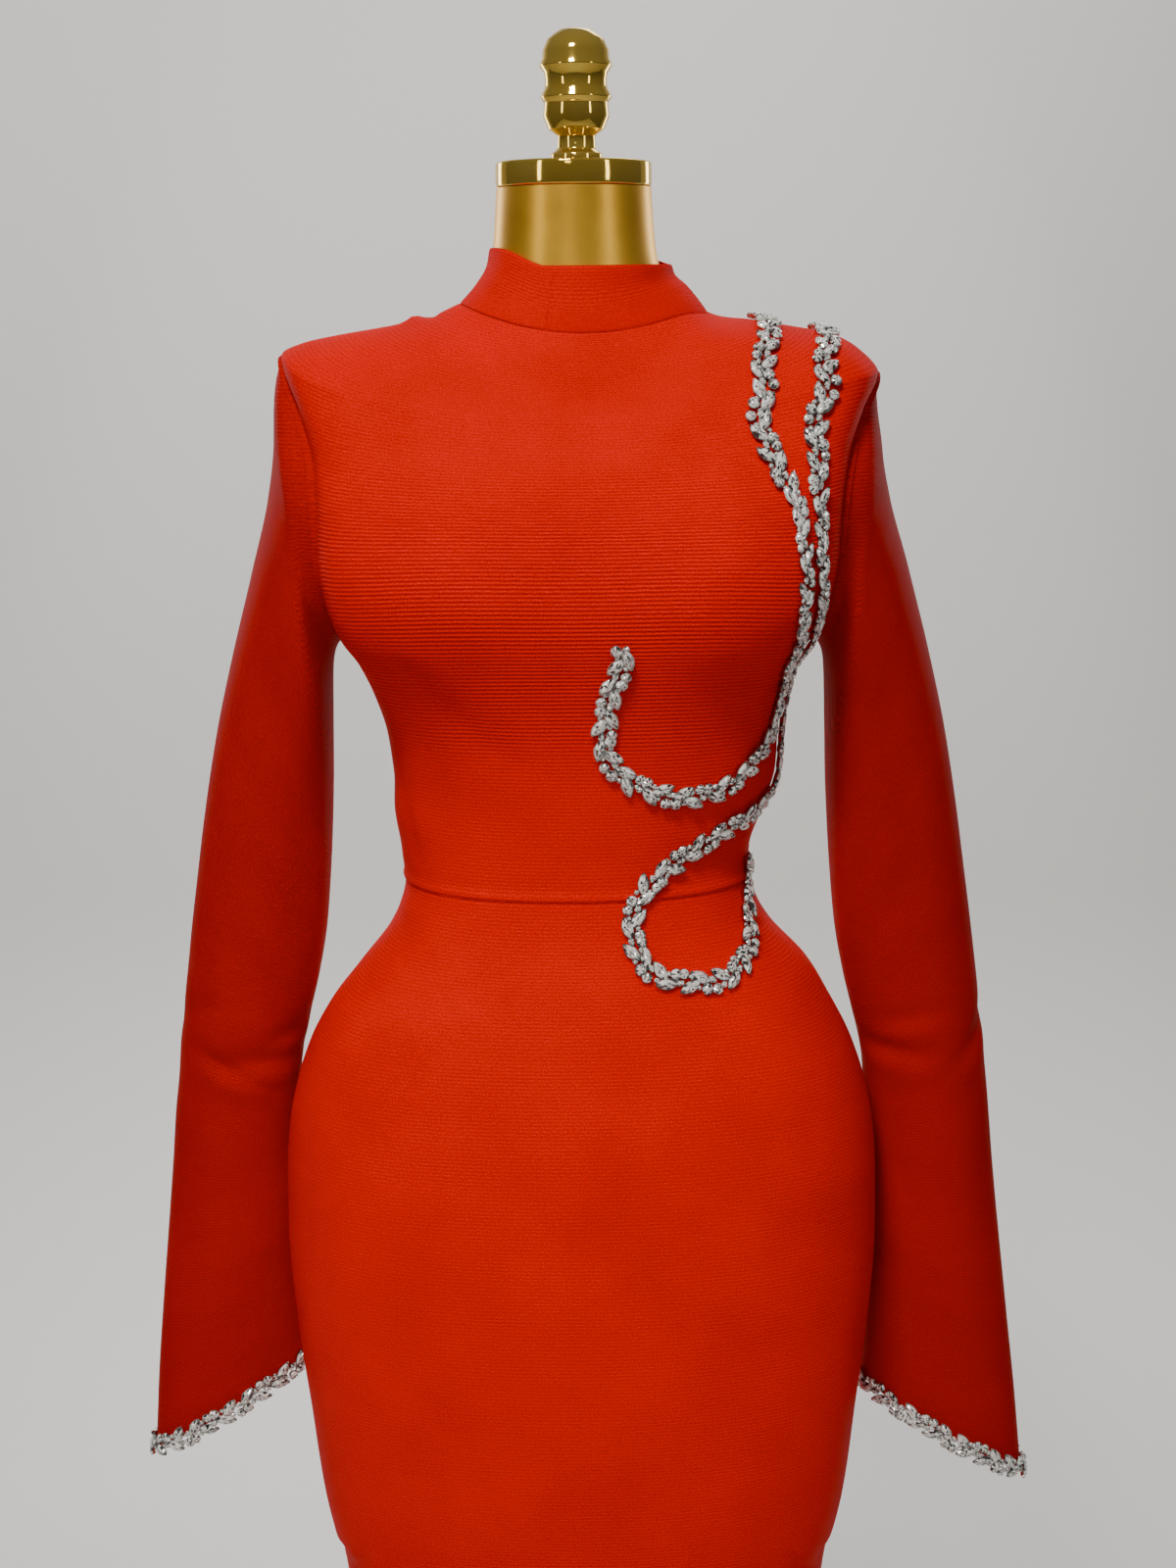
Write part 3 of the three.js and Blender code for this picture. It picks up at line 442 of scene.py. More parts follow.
def knit_material(name, dark, light, ribs_shown_at_bust):
    knit, tree, shader = new_material(
        name, {"Roughness": 0.66, "Specular IOR Level": 0.07, "Specular Tint": (1.0, 0.25, 0.1, 1)}
    )
    place = add_node(tree, "UVMap", uv_map="courses").outputs["UV"]
    split = add_node(tree, "SeparateXYZ", feeds={0: place})

    def both(operation, first, second):
        return calculate(tree, "Math", operation, first, second)

    def noise(**constants):
        return add_node(tree, "TexNoise", constants, {"Vector": place}).outputs["Fac"]

    drift = both("MULTIPLY", noise(Scale=60), RIB_SHOWS["wander"])
    course = both("MULTIPLY", split.outputs["Y"], 2 * math.pi / RIB_PITCH)
    rib = both("SINE", both("ADD", course, drift), 0)
    stitch = both("SINE", both("MULTIPLY", split.outputs["X"], 2 * math.pi / STITCH_PITCH), 0)
    yarn = noise(Scale=900, Detail=3)
    cloud = noise(Scale=14, Detail=3)
    shown = RIB_SHOWS["relaxed"]
    if ribs_shown_at_bust:
        spot = add_node(tree, "SeparateXYZ", feeds={0: add_node(tree, "TexCoord").outputs["Object"]})
        shown = RIB_SHOWS["bust"]
        for axis, begins, full in BUST_REACH:
            part = add_node(
                tree, "MapRange", {"From Min": begins, "From Max": full}, {"Value": spot.outputs[axis]},
                interpolation_type="SMOOTHSTEP",
            )
            shown = both("MULTIPLY", part.outputs["Result"], shown)
        shown = both("ADD", shown, RIB_SHOWS["body"])
    rib_shown = both("MULTIPLY", rib, shown)
    loops = both("MULTIPLY", both("MULTIPLY", stitch, rib), KNIT_HEIGHT["stitch"])
    loops = both("ADD", both("MULTIPLY", rib_shown, KNIT_HEIGHT["rib"]), loops)
    height = both("ADD", loops, both("MULTIPLY", yarn, KNIT_HEIGHT["yarn"]))
    add_bump(tree, shader, height, KNIT_HEIGHT["strength"], KNIT_HEIGHT["distance"])
    tone = both("ADD", both("MULTIPLY", yarn, KNIT_TONE["yarn"]), both("MULTIPLY", cloud, KNIT_TONE["cloud"]))
    # The ribs' light and shade painted into the colour, strongest over the bust.
    tone = both("ADD", tone, both("MULTIPLY", rib_shown, KNIT_TONE["rib"]))
    shade = tone_ramp(tree, tone, [(KNIT_TONE["darkest"], dark), (KNIT_TONE["lightest"], light)])
    tree.links.new(shade, shader.inputs["Base Color"])
    return knit


STRETCHED_KNIT = knit_material("red_bandage_knit", (0.44, 0.0008, 0.0002), (0.96, 0.0045, 0.0004), True)
# The sleeves get a darker copy of the knit: painted shade, as they take less light than the body.
SLEEVE_KNIT_PAINTED_SHADE = knit_material("red_knit_sleeve_painted_shade", (0.27, 0.0005, 0.0001), (0.62, 0.003, 0.0003), False)


def finish_cloth(piece, node, held):
    piece.data.materials.append(SLEEVE_KNIT_PAINTED_SHADE if held == "hung" else STRETCHED_KNIT)
    stand_for(piece, node)


# Heights and shares along a row lie closer together beside a seam, so the cloth can roll into it.
def spread(count, edge=(0.0, 0.5, 1.2, 2.4, 4.5), width=450.0):
    inner = np.linspace(edge[-1] / width, 1 - edge[-1] / width, count)
    low = np.array(edge[:-1]) / width
    return np.concatenate([low, inner, 1 - low[::-1]])


# Lengths up the cloth are read along one line of each panel, at this share of its middle turn.
COURSES_READ_AT = 0.72


def course_length(turn):
    ups = np.linspace(HEM, NECK, 400)
    path = body_point(np.full_like(ups, math.radians(turn)), ups)
    lengths = np.concatenate([[0], np.cumsum(np.linalg.norm(np.diff(path, axis=0), axis=1))])
    return lambda up: np.interp(up, ups, lengths)


# The ribs arch over the bust, where the cloth is drawn out and they lie further apart.
BUST_RIBS = {"wider": 19, "between": (1130, 1300), "arch": 9, "aside": 60}
SEAM_DIP, SEAM_ROLL = 0.8, 1.6


def bust_share(turn, up):
    line = body_line(up)
    x = line_point(line, up, turn)[..., 0] - line[..., 6]
    spread_up = np.where(up > BUST["up"], BUST["above"], BUST["below"])
    level = np.exp(-0.5 * ((up - BUST["up"]) / spread_up) ** 2) * np.where(np.sin(turn) > 0, 1, 0)
    level = level * np.minimum(1, 3 * np.sin(turn) ** 2)
    cups = [((x - side * BUST["apart"] / 2) / BUST_RIBS["aside"]) ** 2 for side in (-1, 1)]
    return level * sum(np.exp(-0.5 * cup) for cup in cups)


def body_panel(name, levels, first_edge, last_edge, columns, lip):
    levels = levels.copy()
    inset = SEAM_GAP / 2
    if levels[0] > HEM:
        levels[0] += inset
    levels[-1] -= inset
    first, last = first_edge(levels), last_edge(levels)
    side = np.sign((last - first)[0])
    shares = spread(columns)

    def edge_inset(turn):
        around = surface_frame(body_point, turn, levels, HEM, NECK)[0]
        return inset / np.linalg.norm(around, axis=-1)

    start, end = first + side * edge_inset(first), last - side * edge_inset(last)
    turn = start[:, None] + (end - start)[:, None] * shares[None, :]
    up = np.broadcast_to(levels[:, None], turn.shape)
    point = body_point(turn, up)
    out = surface_frame(body_point, turn, up, HEM, NECK)[2]
    lengths = np.linalg.norm(np.diff(point, axis=1), axis=-1)
    around = np.concatenate([np.zeros((len(levels), 1)), np.cumsum(lengths, axis=1)], axis=1)
    to_side = np.minimum(around, around[:, -1:] - around)
    relief = crease_relief(turn, up) - SEAM_DIP * np.exp(-to_side / SEAM_ROLL)
    relief = relief + lip(up)
    length = course_length(math.degrees(float(np.mean(turn))) * COURSES_READ_AT)
    outside = point + out * relief[..., None]
    inside = point - out * CLOTH_WALL
    centred = around - around[:, -1:] * (0.5 if abs(math.sin(np.mean(turn))) > 0.9 else 0)
    course = length(up) - BUST_RIBS["wider"] * ease(up, *BUST_RIBS["between"])
    course = course - BUST_RIBS["arch"] * bust_share(turn, up)
    return cloth_mesh(name, outside, inside, centred, course)


front_from = armhole_angle


def front_to(up):
    return math.pi - armhole_angle(up)


def back_left_from(up):
    return -armhole_angle(up)


def back_right_to(up):
    return -math.pi + armhole_angle(up)


def centre_back(up):
    return np.full_like(up, -math.pi / 2)


def bodice_levels():
    edge = np.array([0, 0.5, 1.2, 2.2, 3.6, 5.5])
    low = np.concatenate([WAIST + edge, np.arange(WAIST + 9, ARMPIT - 1, 4.0)])
    middle, reach = (ARMPIT + SHOULDER_TIP) / 2, (SHOULDER_TIP - ARMPIT) / 2
    hole = middle + reach * np.sin(np.linspace(-math.pi / 2, math.pi / 2, 57))
    top = np.concatenate([np.arange(SHOULDER_TIP + 0.8, NECK - 3, 0.9), NECK - edge[:4][::-1]])
    return np.concatenate([low, hole, top])


def skirt_levels():
    edge = np.array([0, 0.5, 1.2, 2.2, 3.6, 5.5])
    body = np.arange(HEM + 9, WAIST - 7, 4.2)
    return np.concatenate([HEM + edge, body, WAIST - edge[::-1]])


# The bodice's lower edge is turned under and stands a little proud of the skirt at the waist.
def bodice_lip(up):
    above = up - WAIST
    return 0.9 * np.exp(-((above - 2.2) / 2.4) ** 2) - 0.3 * np.exp(-((above - 7.5) / 2.5) ** 2) \
        - 0.35 * np.exp(-(NECK - up) / 1.5)


def skirt_lip(up):
    below = WAIST - up
    hem = up - HEM
    return -0.8 * np.exp(-below / 2.8) - 0.35 * np.exp(-((hem - 20) / 0.9) ** 2)


front = body_panel("bodice_front_cloth", bodice_levels(), front_from, front_to, 112, bodice_lip)
finish_cloth(front, "bodice_front", "stretched")
for node, first, last in (
    ("bodice_back_left", back_left_from, centre_back),
    ("bodice_back_right", centre_back, back_right_to),
):
    back = body_panel(node + "_cloth", bodice_levels(), first, last, 56, bodice_lip)
    finish_cloth(back, node, "stretched")
skirt = body_panel("skirt_front_cloth", skirt_levels(), front_from, front_to, 112, skirt_lip)
finish_cloth(skirt, "skirt_front", "stretched")
for node, first, last in (
    ("skirt_back_left", back_left_from, centre_back),
    ("skirt_back_right", centre_back, back_right_to),
):
    back = body_panel(node + "_cloth", skirt_levels(), first, last, 56, skirt_lip)
    finish_cloth(back, node, "stretched")


# Sleeves: long tubes of the same knit, in a darker copy that carries painted shade, set into the
# armholes and cut wide at a slanted hem. They hang empty behind the hips. Stations run from the
# shoulder to the hem: under-arm line x and height, over-arm line x and height, half depth, and how
# far the middle lies behind.
SLEEVE_LINES = [
    (1, 161, 1194, 193.5, 1370, 60, 0),
    (2, 163, 1172, 195, 1337, 59, 2),
    (3, 164, 1140, 201, 1296, 57, 5),
    (4, 165, 1106, 214, 1246, 55, 9),
    (5, 167, 1072, 229, 1193, 52, 14),
    (6, 170, 1036, 242.5, 1141, 49, 20),
    (7, 174, 1000, 253.5, 1088, 46, 26),
    (8, 181, 964, 263, 1034, 44, 33),
    (9, 190, 928, 272, 979, 42, 39),
    (10, 197, 892, 279.5, 924, 40, 43),
    (11, 200, 856, 286, 872, 39, 45),
    (12, 201, 820, 291.5, 820, 38, 46),
    (13, 201, 784, 297, 770, 37.5, 46),
    (14, 201, 748, 303, 716, 36, 46),
    (15, 200.5, 712, 308.5, 662, 33, 46),
    (16, 200, 677, 313, 604, 29, 46),
]
LEFT_SLEEVE = [
    (1, 0, 1.5), (2, 0, 5), (4, 1, 6), (8, 3, 3), (12, 8, 2), (14, 12, 3), (16, 23, 6.5),
]
# Creases: side, station, turn, depth, spread along in stations, spread round in degrees, slant
SLEEVE_CREASES = [
    (-1, 9.9, -25, 3.4, 0.13, 34, 0.006),
    (-1, 10.2, 5, 2.6, 0.09, 26, -0.003),
    (-1, 9.55, 48, 2.0, 0.12, 22, 0.009),
    (-1, 9.3, -48, 2.2, 0.16, 20, 0.012),
    (1, 9.6, -35, 3.0, 0.13, 26, 0.008),
    (1, 9.95, 60, 2.4, 0.12, 24, -0.007),
    (1, 9.2, -10, 1.6, 0.12, 24, 0.005),
    (-1, 9.5, 180, 3.0, 0.3, 46, 0.004),
    (-1, 10.4, 150, 2.0, 0.22, 40, -0.005),
    (1, 9.8, 200, 3.0, 0.3, 42, -0.004),
    (1, 9.2, 165, 2.0, 0.25, 36, 0.004),
    (-1, 2.2, 40, 1.6, 0.5, 30, 0.01),
    (-1, 1.5, -48, 5.0, 0.5, 20, 0.012),
    (1, 1.5, -50, 4.4, 0.5, 20, 0.012),
    (1, 2.0, 30, 1.4, 0.5, 30, 0.01),
]
# Long soft folds: side, turn, first and last station, depth, spread in degrees
SLEEVE_FOLDS = [
    (-1, 12, 2.5, 9.2, 1.6, 16),
    (-1, -38, 3.5, 9.5, 1.3, 14),
    (-1, 40, 10.6, 15.6, 1.4, 18),
    (-1, 200, 3, 15, 1.5, 20),
    (1, 8, 1.8, 8.6, 2.2, 14),
    (1, -42, 4, 9.4, 1.3, 15),
    (1, 52, 10.4, 15.4, 1.3, 17),
    (1, 168, 3, 15, 1.6, 22),
]
# The sleeve head runs smoothly into the arm between these stations. A rolled seam stands along
# the armhole: height, place and width of the roll, then depth and width of the groove beside it.
HEAD_BLEND = (0.4, 1.6)
ROLL = {"high": 2.4, "at": 0.10, "wide": 0.06, "groove": 1.1, "groove_wide": 0.03}
SLEEVE_ROWS, SLEEVE_COLUMNS, TURN_LENGTH = 190, 96, 46.0
# Its courses lie level above the first of these stations, and square to the arm below the second.
LEVEL_UNTIL, SQUARE_TO_ARM = 1.0, 4.5
sleeve_line = smooth_table(SLEEVE_LINES)
left_sleeve_line = smooth_table(LEFT_SLEEVE)


def sleeve_relief(side, at, angle):
    degrees = np.degrees(angle)
    relief = np.zeros(np.broadcast(at, angle).shape)
    for crease_side, station, turn, deep, along, spread_round, slant in SLEEVE_CREASES:
        if crease_side == side:
            round_off = (degrees - turn + 180) % 360 - 180
            off = (at - station - slant * round_off) / along
            trough = np.exp(-0.5 * off ** 2) - 0.4 * np.exp(-0.5 * ((off - 2.6) / 1.3) ** 2)
            relief -= deep * trough * np.exp(-0.5 * (round_off / spread_round) ** 2)
    for fold_side, turn, first, last, deep, spread_round in SLEEVE_FOLDS:
        if fold_side == side:
            round_off = (degrees - turn + 180) % 360 - 180
            length = ease(at, first, first + 1.5) * (1 - ease(at, last - 1.5, last))
            relief -= deep * length * np.exp(-0.5 * (round_off / spread_round) ** 2)
    return relief


def sleeve_point(side, at, angle, out=0.0):
    middle, reach = (ARMPIT + SHOULDER_TIP) / 2, (SHOULDER_TIP - ARMPIT) / 2 - SEAM_GAP / 2
    seam_turn = math.radians(ARMHOLE_TURN) - SEAM_GAP / 2 / float(body_line(middle)[0])
    aside = seam_turn * np.cos(angle)
    turn = aside if side > 0 else math.pi - aside
    up = middle + reach * np.sin(angle)
    seam = body_point(turn, up)
    seam_out = surface_frame(body_point, turn, up, HEM, NECK)[2]
    seam = seam + seam_out * out
    blend_length = HEAD_BLEND[1] - HEAD_BLEND[0]
    station = np.maximum(at, 1 + np.clip(at - HEAD_BLEND[0], 0, blend_length) ** 2 / 2 / blend_length)
    in_x, in_up, out_x, out_up, deep, behind = np.moveaxis(sleeve_line(station), -1, 0)
    down, aside_out = np.moveaxis(left_sleeve_line(station), -1, 0) if side > 0 else (0, 0)
    over = np.stack([out_x + aside_out, out_up - down], axis=-1)
    under = np.stack([in_x + np.minimum(aside_out, 2), in_up - down], axis=-1)
    centre = (over + under) / 2
    half = (over - under) / 2
    size = np.linalg.norm(half, axis=-1)
    half = half / size[..., None]
    grow = out + sleeve_relief(side, at, angle)
    reach_out = (size + grow) * np.sin(angle)
    x = side * (centre[..., 0] + half[..., 0] * reach_out)
    z = centre[..., 1] + half[..., 1] * reach_out
    y = behind - (deep + grow) * np.cos(angle)
    tube = settled(np.stack([x, y, z], axis=-1))
    near = np.clip(at, 0, 1)[..., None]
    share = 1 - (1 - np.clip(at / HEAD_BLEND[1], 0, 1)[..., None]) ** 2
    roll = ROLL["high"] * np.exp(-(((near - ROLL["at"]) / ROLL["wide"]) ** 2))
    roll = roll - ROLL["groove"] * np.exp(-((near / ROLL["groove_wide"]) ** 2))
    return seam + (tube - seam) * share + seam_out * roll * (near < 1)


def sleeve(side, node):
    head = np.concatenate([np.linspace(0, 0.3, 13)[:-1], np.linspace(0.3, 1, 9)[:-1]])
    stations = np.concatenate([head, np.linspace(1, SLEEVE_LINES[-1][0], SLEEVE_ROWS)])
    angles = np.linspace(-math.pi / 2, 1.5 * math.pi, SLEEVE_COLUMNS + 1)[:-1]
    at, angle = np.meshgrid(stations, angles, indexing="ij")
    outside = sleeve_point(side, at, angle)
    inside = sleeve_point(side, at, angle, -CLOTH_WALL)
    over_arm = outside[:, SLEEVE_COLUMNS // 2]
    along = np.concatenate([[0], np.cumsum(np.linalg.norm(np.diff(over_arm, axis=0), axis=1))])
    around = np.broadcast_to((angles + math.pi / 2) * TURN_LENGTH, at.shape)
    middle = outside.mean(axis=1)[:, 2]
    turning = int(np.searchsorted(stations, SQUARE_TO_ARM))
    across_arm = along + (middle[0] - middle[turning]) - along[turning]
    share = ease(at, LEVEL_UNTIL, SQUARE_TO_ARM)
    course = (1 - share) * (middle[0] - outside[..., 2]) + share * across_arm[:, None]
    piece = cloth_mesh(node + "_cloth", outside, inside, around, course, True)
    finish_cloth(piece, node, "hung")


sleeve(1, "sleeve_left")
sleeve(-1, "sleeve_right")


# Collar: a short stand-up band of the knit, folded double along its top edge, with a join in
# front. It stands higher on the wearer's right and is open at the centre back for the zip.
COLLAR_LINES = [
    (1419, 80, 64, 68, 0, 1400, 1429, 7),
    (1430, 67, 61, 64.5, 0, 1413, 1439, 6),
    (1436, 60.5, 58.5, 61, 0, 1427.5, 1448, 5),
    (1442, 58.5, 57, 59, 0, 1441, 1455, 5),
]
COLLAR_LIFT = {"height": 11, "from": -16, "to": -50}
COLLAR_TOP = COLLAR_LINES[-1][0]
collar_line = smooth_table(COLLAR_LINES)


def collar_point(turn, up):
    up = np.clip(up, NECK, COLLAR_TOP)
    point = line_point(collar_line(up), up, turn)
    share = (up - NECK) / (COLLAR_TOP - NECK)
    lift = ease(-point[..., 0], -COLLAR_LIFT["from"], -COLLAR_LIFT["to"])
    point[..., 2] += COLLAR_LIFT["height"] * lift * share ** 2
    return settled(point, (1 - share) ** 2)


def collar():
    levels = np.concatenate([[NECK + 0.1, NECK + 0.7, NECK + 1.6], np.linspace(NECK + 3, COLLAR_TOP - 1.2, 22),
                             [COLLAR_TOP - 0.5, COLLAR_TOP]])
    shares = np.sort(np.concatenate([np.linspace(0, 1, 161), np.linspace(0.545, 0.578, 28)]))
    half = collar_line(levels)[:, 0]
    first = -math.pi / 2 + SEAM_GAP / 2 / half
    turn = first[:, None] + (2 * math.pi - SEAM_GAP / half)[:, None] * shares[None, :]
    up = np.broadcast_to(levels[:, None], turn.shape)
    point = collar_point(turn, up)
    out = surface_frame(collar_point, turn, up, NECK, COLLAR_TOP)[2]
    point[0, :, 2] += SEAM_GAP / 2
    share = (up - NECK) / (COLLAR_TOP - NECK)
    join = np.exp(-((point[..., 0] + 17 - 6 * share) / 1.1) ** 2) * (turn > 0) * (turn < math.pi)
    relief = -0.6 * np.exp(-(up - NECK) / 0.8) - 0.9 * join - 0.5 * np.exp(-(COLLAR_TOP - up) / 0.5)
    outside = point + out * relief[..., None]
    inside = point - out * CLOTH_WALL
    lengths = np.linalg.norm(np.diff(point, axis=1), axis=-1)
    around = np.concatenate([np.zeros((len(levels), 1)), np.cumsum(lengths, axis=1)], axis=1)
    piece = cloth_mesh("collar_cloth", outside, inside, around, (up - NECK) * 2.5)
    finish_cloth(piece, "collar", "stretched")


collar()


# Dress form: a limbless hard shell in satin gold paint that fills the dress, with a bare neck and
# a rounded lower edge.
NECK_LINES = [
    (1421, 67, 58, 61, 0, 1403, 1430, 5),
    (1428, 58.5, 55, 57.5, 0, 1414, 1438, 3.5),
    (1438, 54.5, 53, 54, 0, 1429, 1446, 2),
    (1455, 52, 51.5, 51.5, 0, 1450, 1458, 1),
    (1490, 49.5, 49.5, 49.5, 0, 1490, 1490, 1),
]
FORM_GAP, FORM_GAP_AT_SHOULDER, FORM_BOTTOM = 3, 1.6, 574
neck_line = smooth_table(NECK_LINES)


# Inset and drop below the lower edge of the rings that round it off
FORM_LOWER_EDGE = ((14, 8), (9.5, 7.8), (6, 6.5), (3, 4.6), (1, 2.2))
FORM_COLUMNS = 96


def form_body():
    turn = np.linspace(0, 2 * math.pi, FORM_COLUMNS + 1)[:-1]
    rings = []

    def body_ring(up, inset):
        gap = FORM_GAP_AT_SHOULDER if up > SHOULDER_TIP else FORM_GAP
        level = np.full_like(turn, up)
        out = surface_frame(body_point, turn, level, HEM, NECK)[2]
        return body_point(turn, level) - out * (CLOTH_WALL + gap + inset)

    for inset, down in FORM_LOWER_EDGE:
        ring = body_ring(FORM_BOTTOM, inset)
        ring[:, 2] = FORM_BOTTOM - down
        rings.append(ring)
    for up in np.concatenate([np.arange(FORM_BOTTOM, SHOULDER_TIP, 9.0), np.arange(SHOULDER_TIP, NECK + 0.1, 2.4)]):
        rings.append(body_ring(float(up), 0))
    neck_from = NECK_LINES[0][0]
    for up in np.concatenate([np.arange(neck_from, 1456, 2.5), np.linspace(1458, NECK_LINES[-1][0], 9)]):
        level = np.full_like(turn, up)
        share = max(0.0, 1 - (up - neck_from) / 12)
        rings.append(settled(line_point(neck_line(level), level, turn), share))
    rings = np.array(rings)
    rows, columns = rings.shape[:2]
    verts = np.concatenate([rings.reshape(-1, 3), rings[:1].mean(axis=1), rings[-1:].mean(axis=1)]) * MM
    low, high = rows * columns, rows * columns + 1
    faces = []
    for j in range(columns):
        k = (j + 1) % columns
        for row in range(0, low - columns, columns):
            faces.append((row + k, row + j, row + columns + j, row + columns + k))
        faces.append((low, j, k))
        faces.append((high, low - columns + k, low - columns + j))
    piece = add_piece("form_body_shell", verts.tolist(), [], faces)
    bpy.ops.object.mode_set(mode="EDIT")
    bpy.ops.mesh.select_all(action="SELECT")
    bpy.ops.mesh.normals_make_consistent(inside=False)
    bpy.ops.object.mode_set(mode="OBJECT")
    bpy.ops.object.shade_smooth_by_angle(angle=math.radians(40))
    return piece


def gold_material(name, colour, deep_colour, roughness, mottle, metallic):
    gold, tree, shader = new_material(name, {"Metallic": metallic})
    place = add_node(tree, "TexCoord").outputs["Object"]
    patches = add_node(tree, "TexNoise", {"Scale": mottle, "Detail": 5}, {"Vector": place}).outputs["Fac"]
    tint = tone_ramp(tree, patches, [(0.35, deep_colour), (0.65, colour)])
    tree.links.new(tint, shader.inputs["Base Color"])
    dull = add_node(tree, "MapRange", {"To Min": roughness * 0.8, "To Max": roughness * 1.25}, {"Value": patches})
    tree.links.new(dull.outputs["Result"], shader.inputs["Roughness"])
    grain = add_node(tree, "TexNoise", {"Scale": 900}, {"Vector": place}).outputs["Fac"]
    add_bump(tree, shader, grain, roughness * 0.35, 0.0002)
    return gold


SATIN_GOLD = gold_material("satin_gold_paint", (0.95, 0.53, 0.055), (0.80, 0.42, 0.035), 0.36, 22, 0.85)
POLISHED_GOLD = gold_material("polished_gold", (0.95, 0.66, 0.13), (0.86, 0.55, 0.07), 0.07, 30, 0.92)
form = form_body()
form.data.materials.append(SATIN_GOLD)
stand_for(form, "form_body")


# Neck cap, knob, pole and base: spun and turned metal, polished gold. Each profile is a list of
# radius and height.
CAP = [
    (0, 1490.3), (49, 1490.3), (50, 1491.3), (50, 1505), (49, 1506), (0, 1506),
]
FINIAL = [
    (0, 1506.3), (16.5, 1506.3), (16.5, 1511), (12.5, 1514), (12, 1522), (18, 1526),
    (21.2, 1534), (20.4, 1542), (23, 1545.7), (20, 1551), (19.6, 1556), (20.4, 1560.5),
    (23.5, 1565), (21.4, 1569), (21.2, 1574), (18.2, 1581), (11, 1586.6), (0, 1588.5),
]
POLE = [
    (0, 30.3), (12.5, 30.3), (12.5, 548), (16, 551), (16, 558), (34, 562), (34, 565.7), (0, 565.7),
]
BASE = [
    (0, 0), (170, 0), (170, 7), (167, 10), (40, 13), (22, 18), (22, 30), (0, 30),
]


def turned_metal(name, node, profile, middle, steps):
    points = [(radius * MM + middle * MM, 0, up * MM) for radius, up in profile]
    piece = add_piece(name, points, [(i, i + 1) for i in range(len(points) - 1)], [])
    bpy.ops.object.mode_set(mode="EDIT")
    bpy.ops.mesh.select_all(action="SELECT")
    bpy.ops.mesh.spin(steps=steps, angle=2 * math.pi, center=(middle * MM, 0, 0), axis=(0, 0, 1))
    bpy.ops.mesh.select_all(action="SELECT")
    bpy.ops.mesh.remove_doubles(threshold=0.00002)
    bpy.ops.mesh.normals_make_consistent(inside=False)
    bpy.ops.object.mode_set(mode="OBJECT")
    bevel = piece.modifiers.new("soft_edges", "BEVEL")
    bevel.width = 0.0006
    bevel.segments = 2
    bevel.limit_method = "ANGLE"
    bevel.angle_limit = math.radians(40)
    bpy.ops.object.modifier_apply(modifier=bevel.name)
    bpy.ops.object.shade_smooth_by_angle(angle=math.radians(32))
    piece.data.materials.append(POLISHED_GOLD)
    stand_for(piece, node)


turned_metal("neck_cap_turned", "neck_cap", CAP, 1, 96)
turned_metal("finial_turned", "finial", FINIAL, 3, 72)
turned_metal("stand_pole_turned", "stand_pole", POLE, 0, 48)
turned_metal("stand_base_turned", "stand_base", BASE, 0, 128)


# Crystal trim: clear stones, silver-backed, in claw settings sewn down in clusters. Two strands
# start behind the wearer's left shoulder and another band edges each sleeve hem. Each route is a
# list of turn and height on the body.
INNER_STRAND = [
    (-12, 1406), (0, 1406), (18, 1405), (34, 1403.5), (47, 1401), (57, 1397), (63, 1388),
    (63, 1369), (61, 1344), (57, 1320), (54.5, 1303), (53, 1286), (51.5, 1270), (50, 1252),
    (47.5, 1236), (43.5, 1220), (38, 1203), (30, 1186), (25, 1169), (25, 1155), (29, 1142),
    (36, 1130), (46, 1118), (55, 1111), (63, 1110), (71, 1114), (78, 1121), (83, 1134), (85, 1150),
    (84, 1166), (83, 1182), (82, 1198), (82, 1213),
]
OUTER_STRAND = [
    (-12, 1399), (0, 1399), (20, 1398.5), (35, 1397), (45, 1393), (50, 1380), (51, 1358),
    (49.5, 1338), (48.5, 1320), (47.5, 1303), (46.5, 1286), (45.5, 1269), (43.5, 1252),
    (39.5, 1235), (33, 1218), (24, 1201), (15, 1186), (8, 1170), (6, 1154), (8, 1137), (6, 1120),
    (7, 1107), (13, 1100), (23, 1096), (33, 1089), (45, 1082), (54, 1073), (62, 1062), (69, 1051),
    (73, 1035), (75, 1018), (74, 1003), (70, 992), (62, 988), (52, 989), (43, 997), (35, 1006),
    (28, 1018), (21, 1032), (16, 1046), (15, 1060),
]
# One repeat: kind, way along, way aside, turn, length, width, height
CLUSTER = [
    ("marquise", 6.0, -3.0, 34, 14.8, 7.6, 4.4),
    ("marquise", 13.2, 3.2, -30, 14.8, 7.6, 4.4),
    ("round", 17.6, -4.4, 0, 7.6, 7.6, 4.4),
    ("round", 1.6, 5.2, 0, 6.8, 6.8, 4.2),
    ("round", 20.8, 1.2, 0, 4.2, 4.2, 3.4),
    ("round", 7.2, 3.4, 0, 3.6, 3.6, 3.0),
    ("round", 12.2, -3.6, 0, 3.4, 3.4, 2.8),
    ("round", 0.6, -0.6, 0, 3.2, 3.2, 3.0),
]
CLUSTER_PITCH = 22
TRIM_SEAT, STRAND_END_GAP = 0.8, 2.0


# How a cut stone is drawn: sectors round it and the depth of its facet rings, as shares of the
# stone; how far its facets lean; its painted facet reflections, from the share where each begins;
# and the painted shade darkening its rim.
CUT = {"sectors": 14, "ring": 0.17, "ring_from": 0.03, "lean": 0.8}
CRYSTAL_PAINTED_REFLECTIONS = [
    (0, (0.03, 0.03, 0.03)), (0.22, (0.20, 0.196, 0.188)), (0.34, (0.66, 0.6468, 0.6204)), (0.56, (1.0, 0.98, 0.93)),
]
CRYSTAL_PAINTED_RIM_SHADE = {"From Min": 0.43, "From Max": 0.48, "To Min": 1.0, "To Max": 0.2}
STONE_STEP = 2


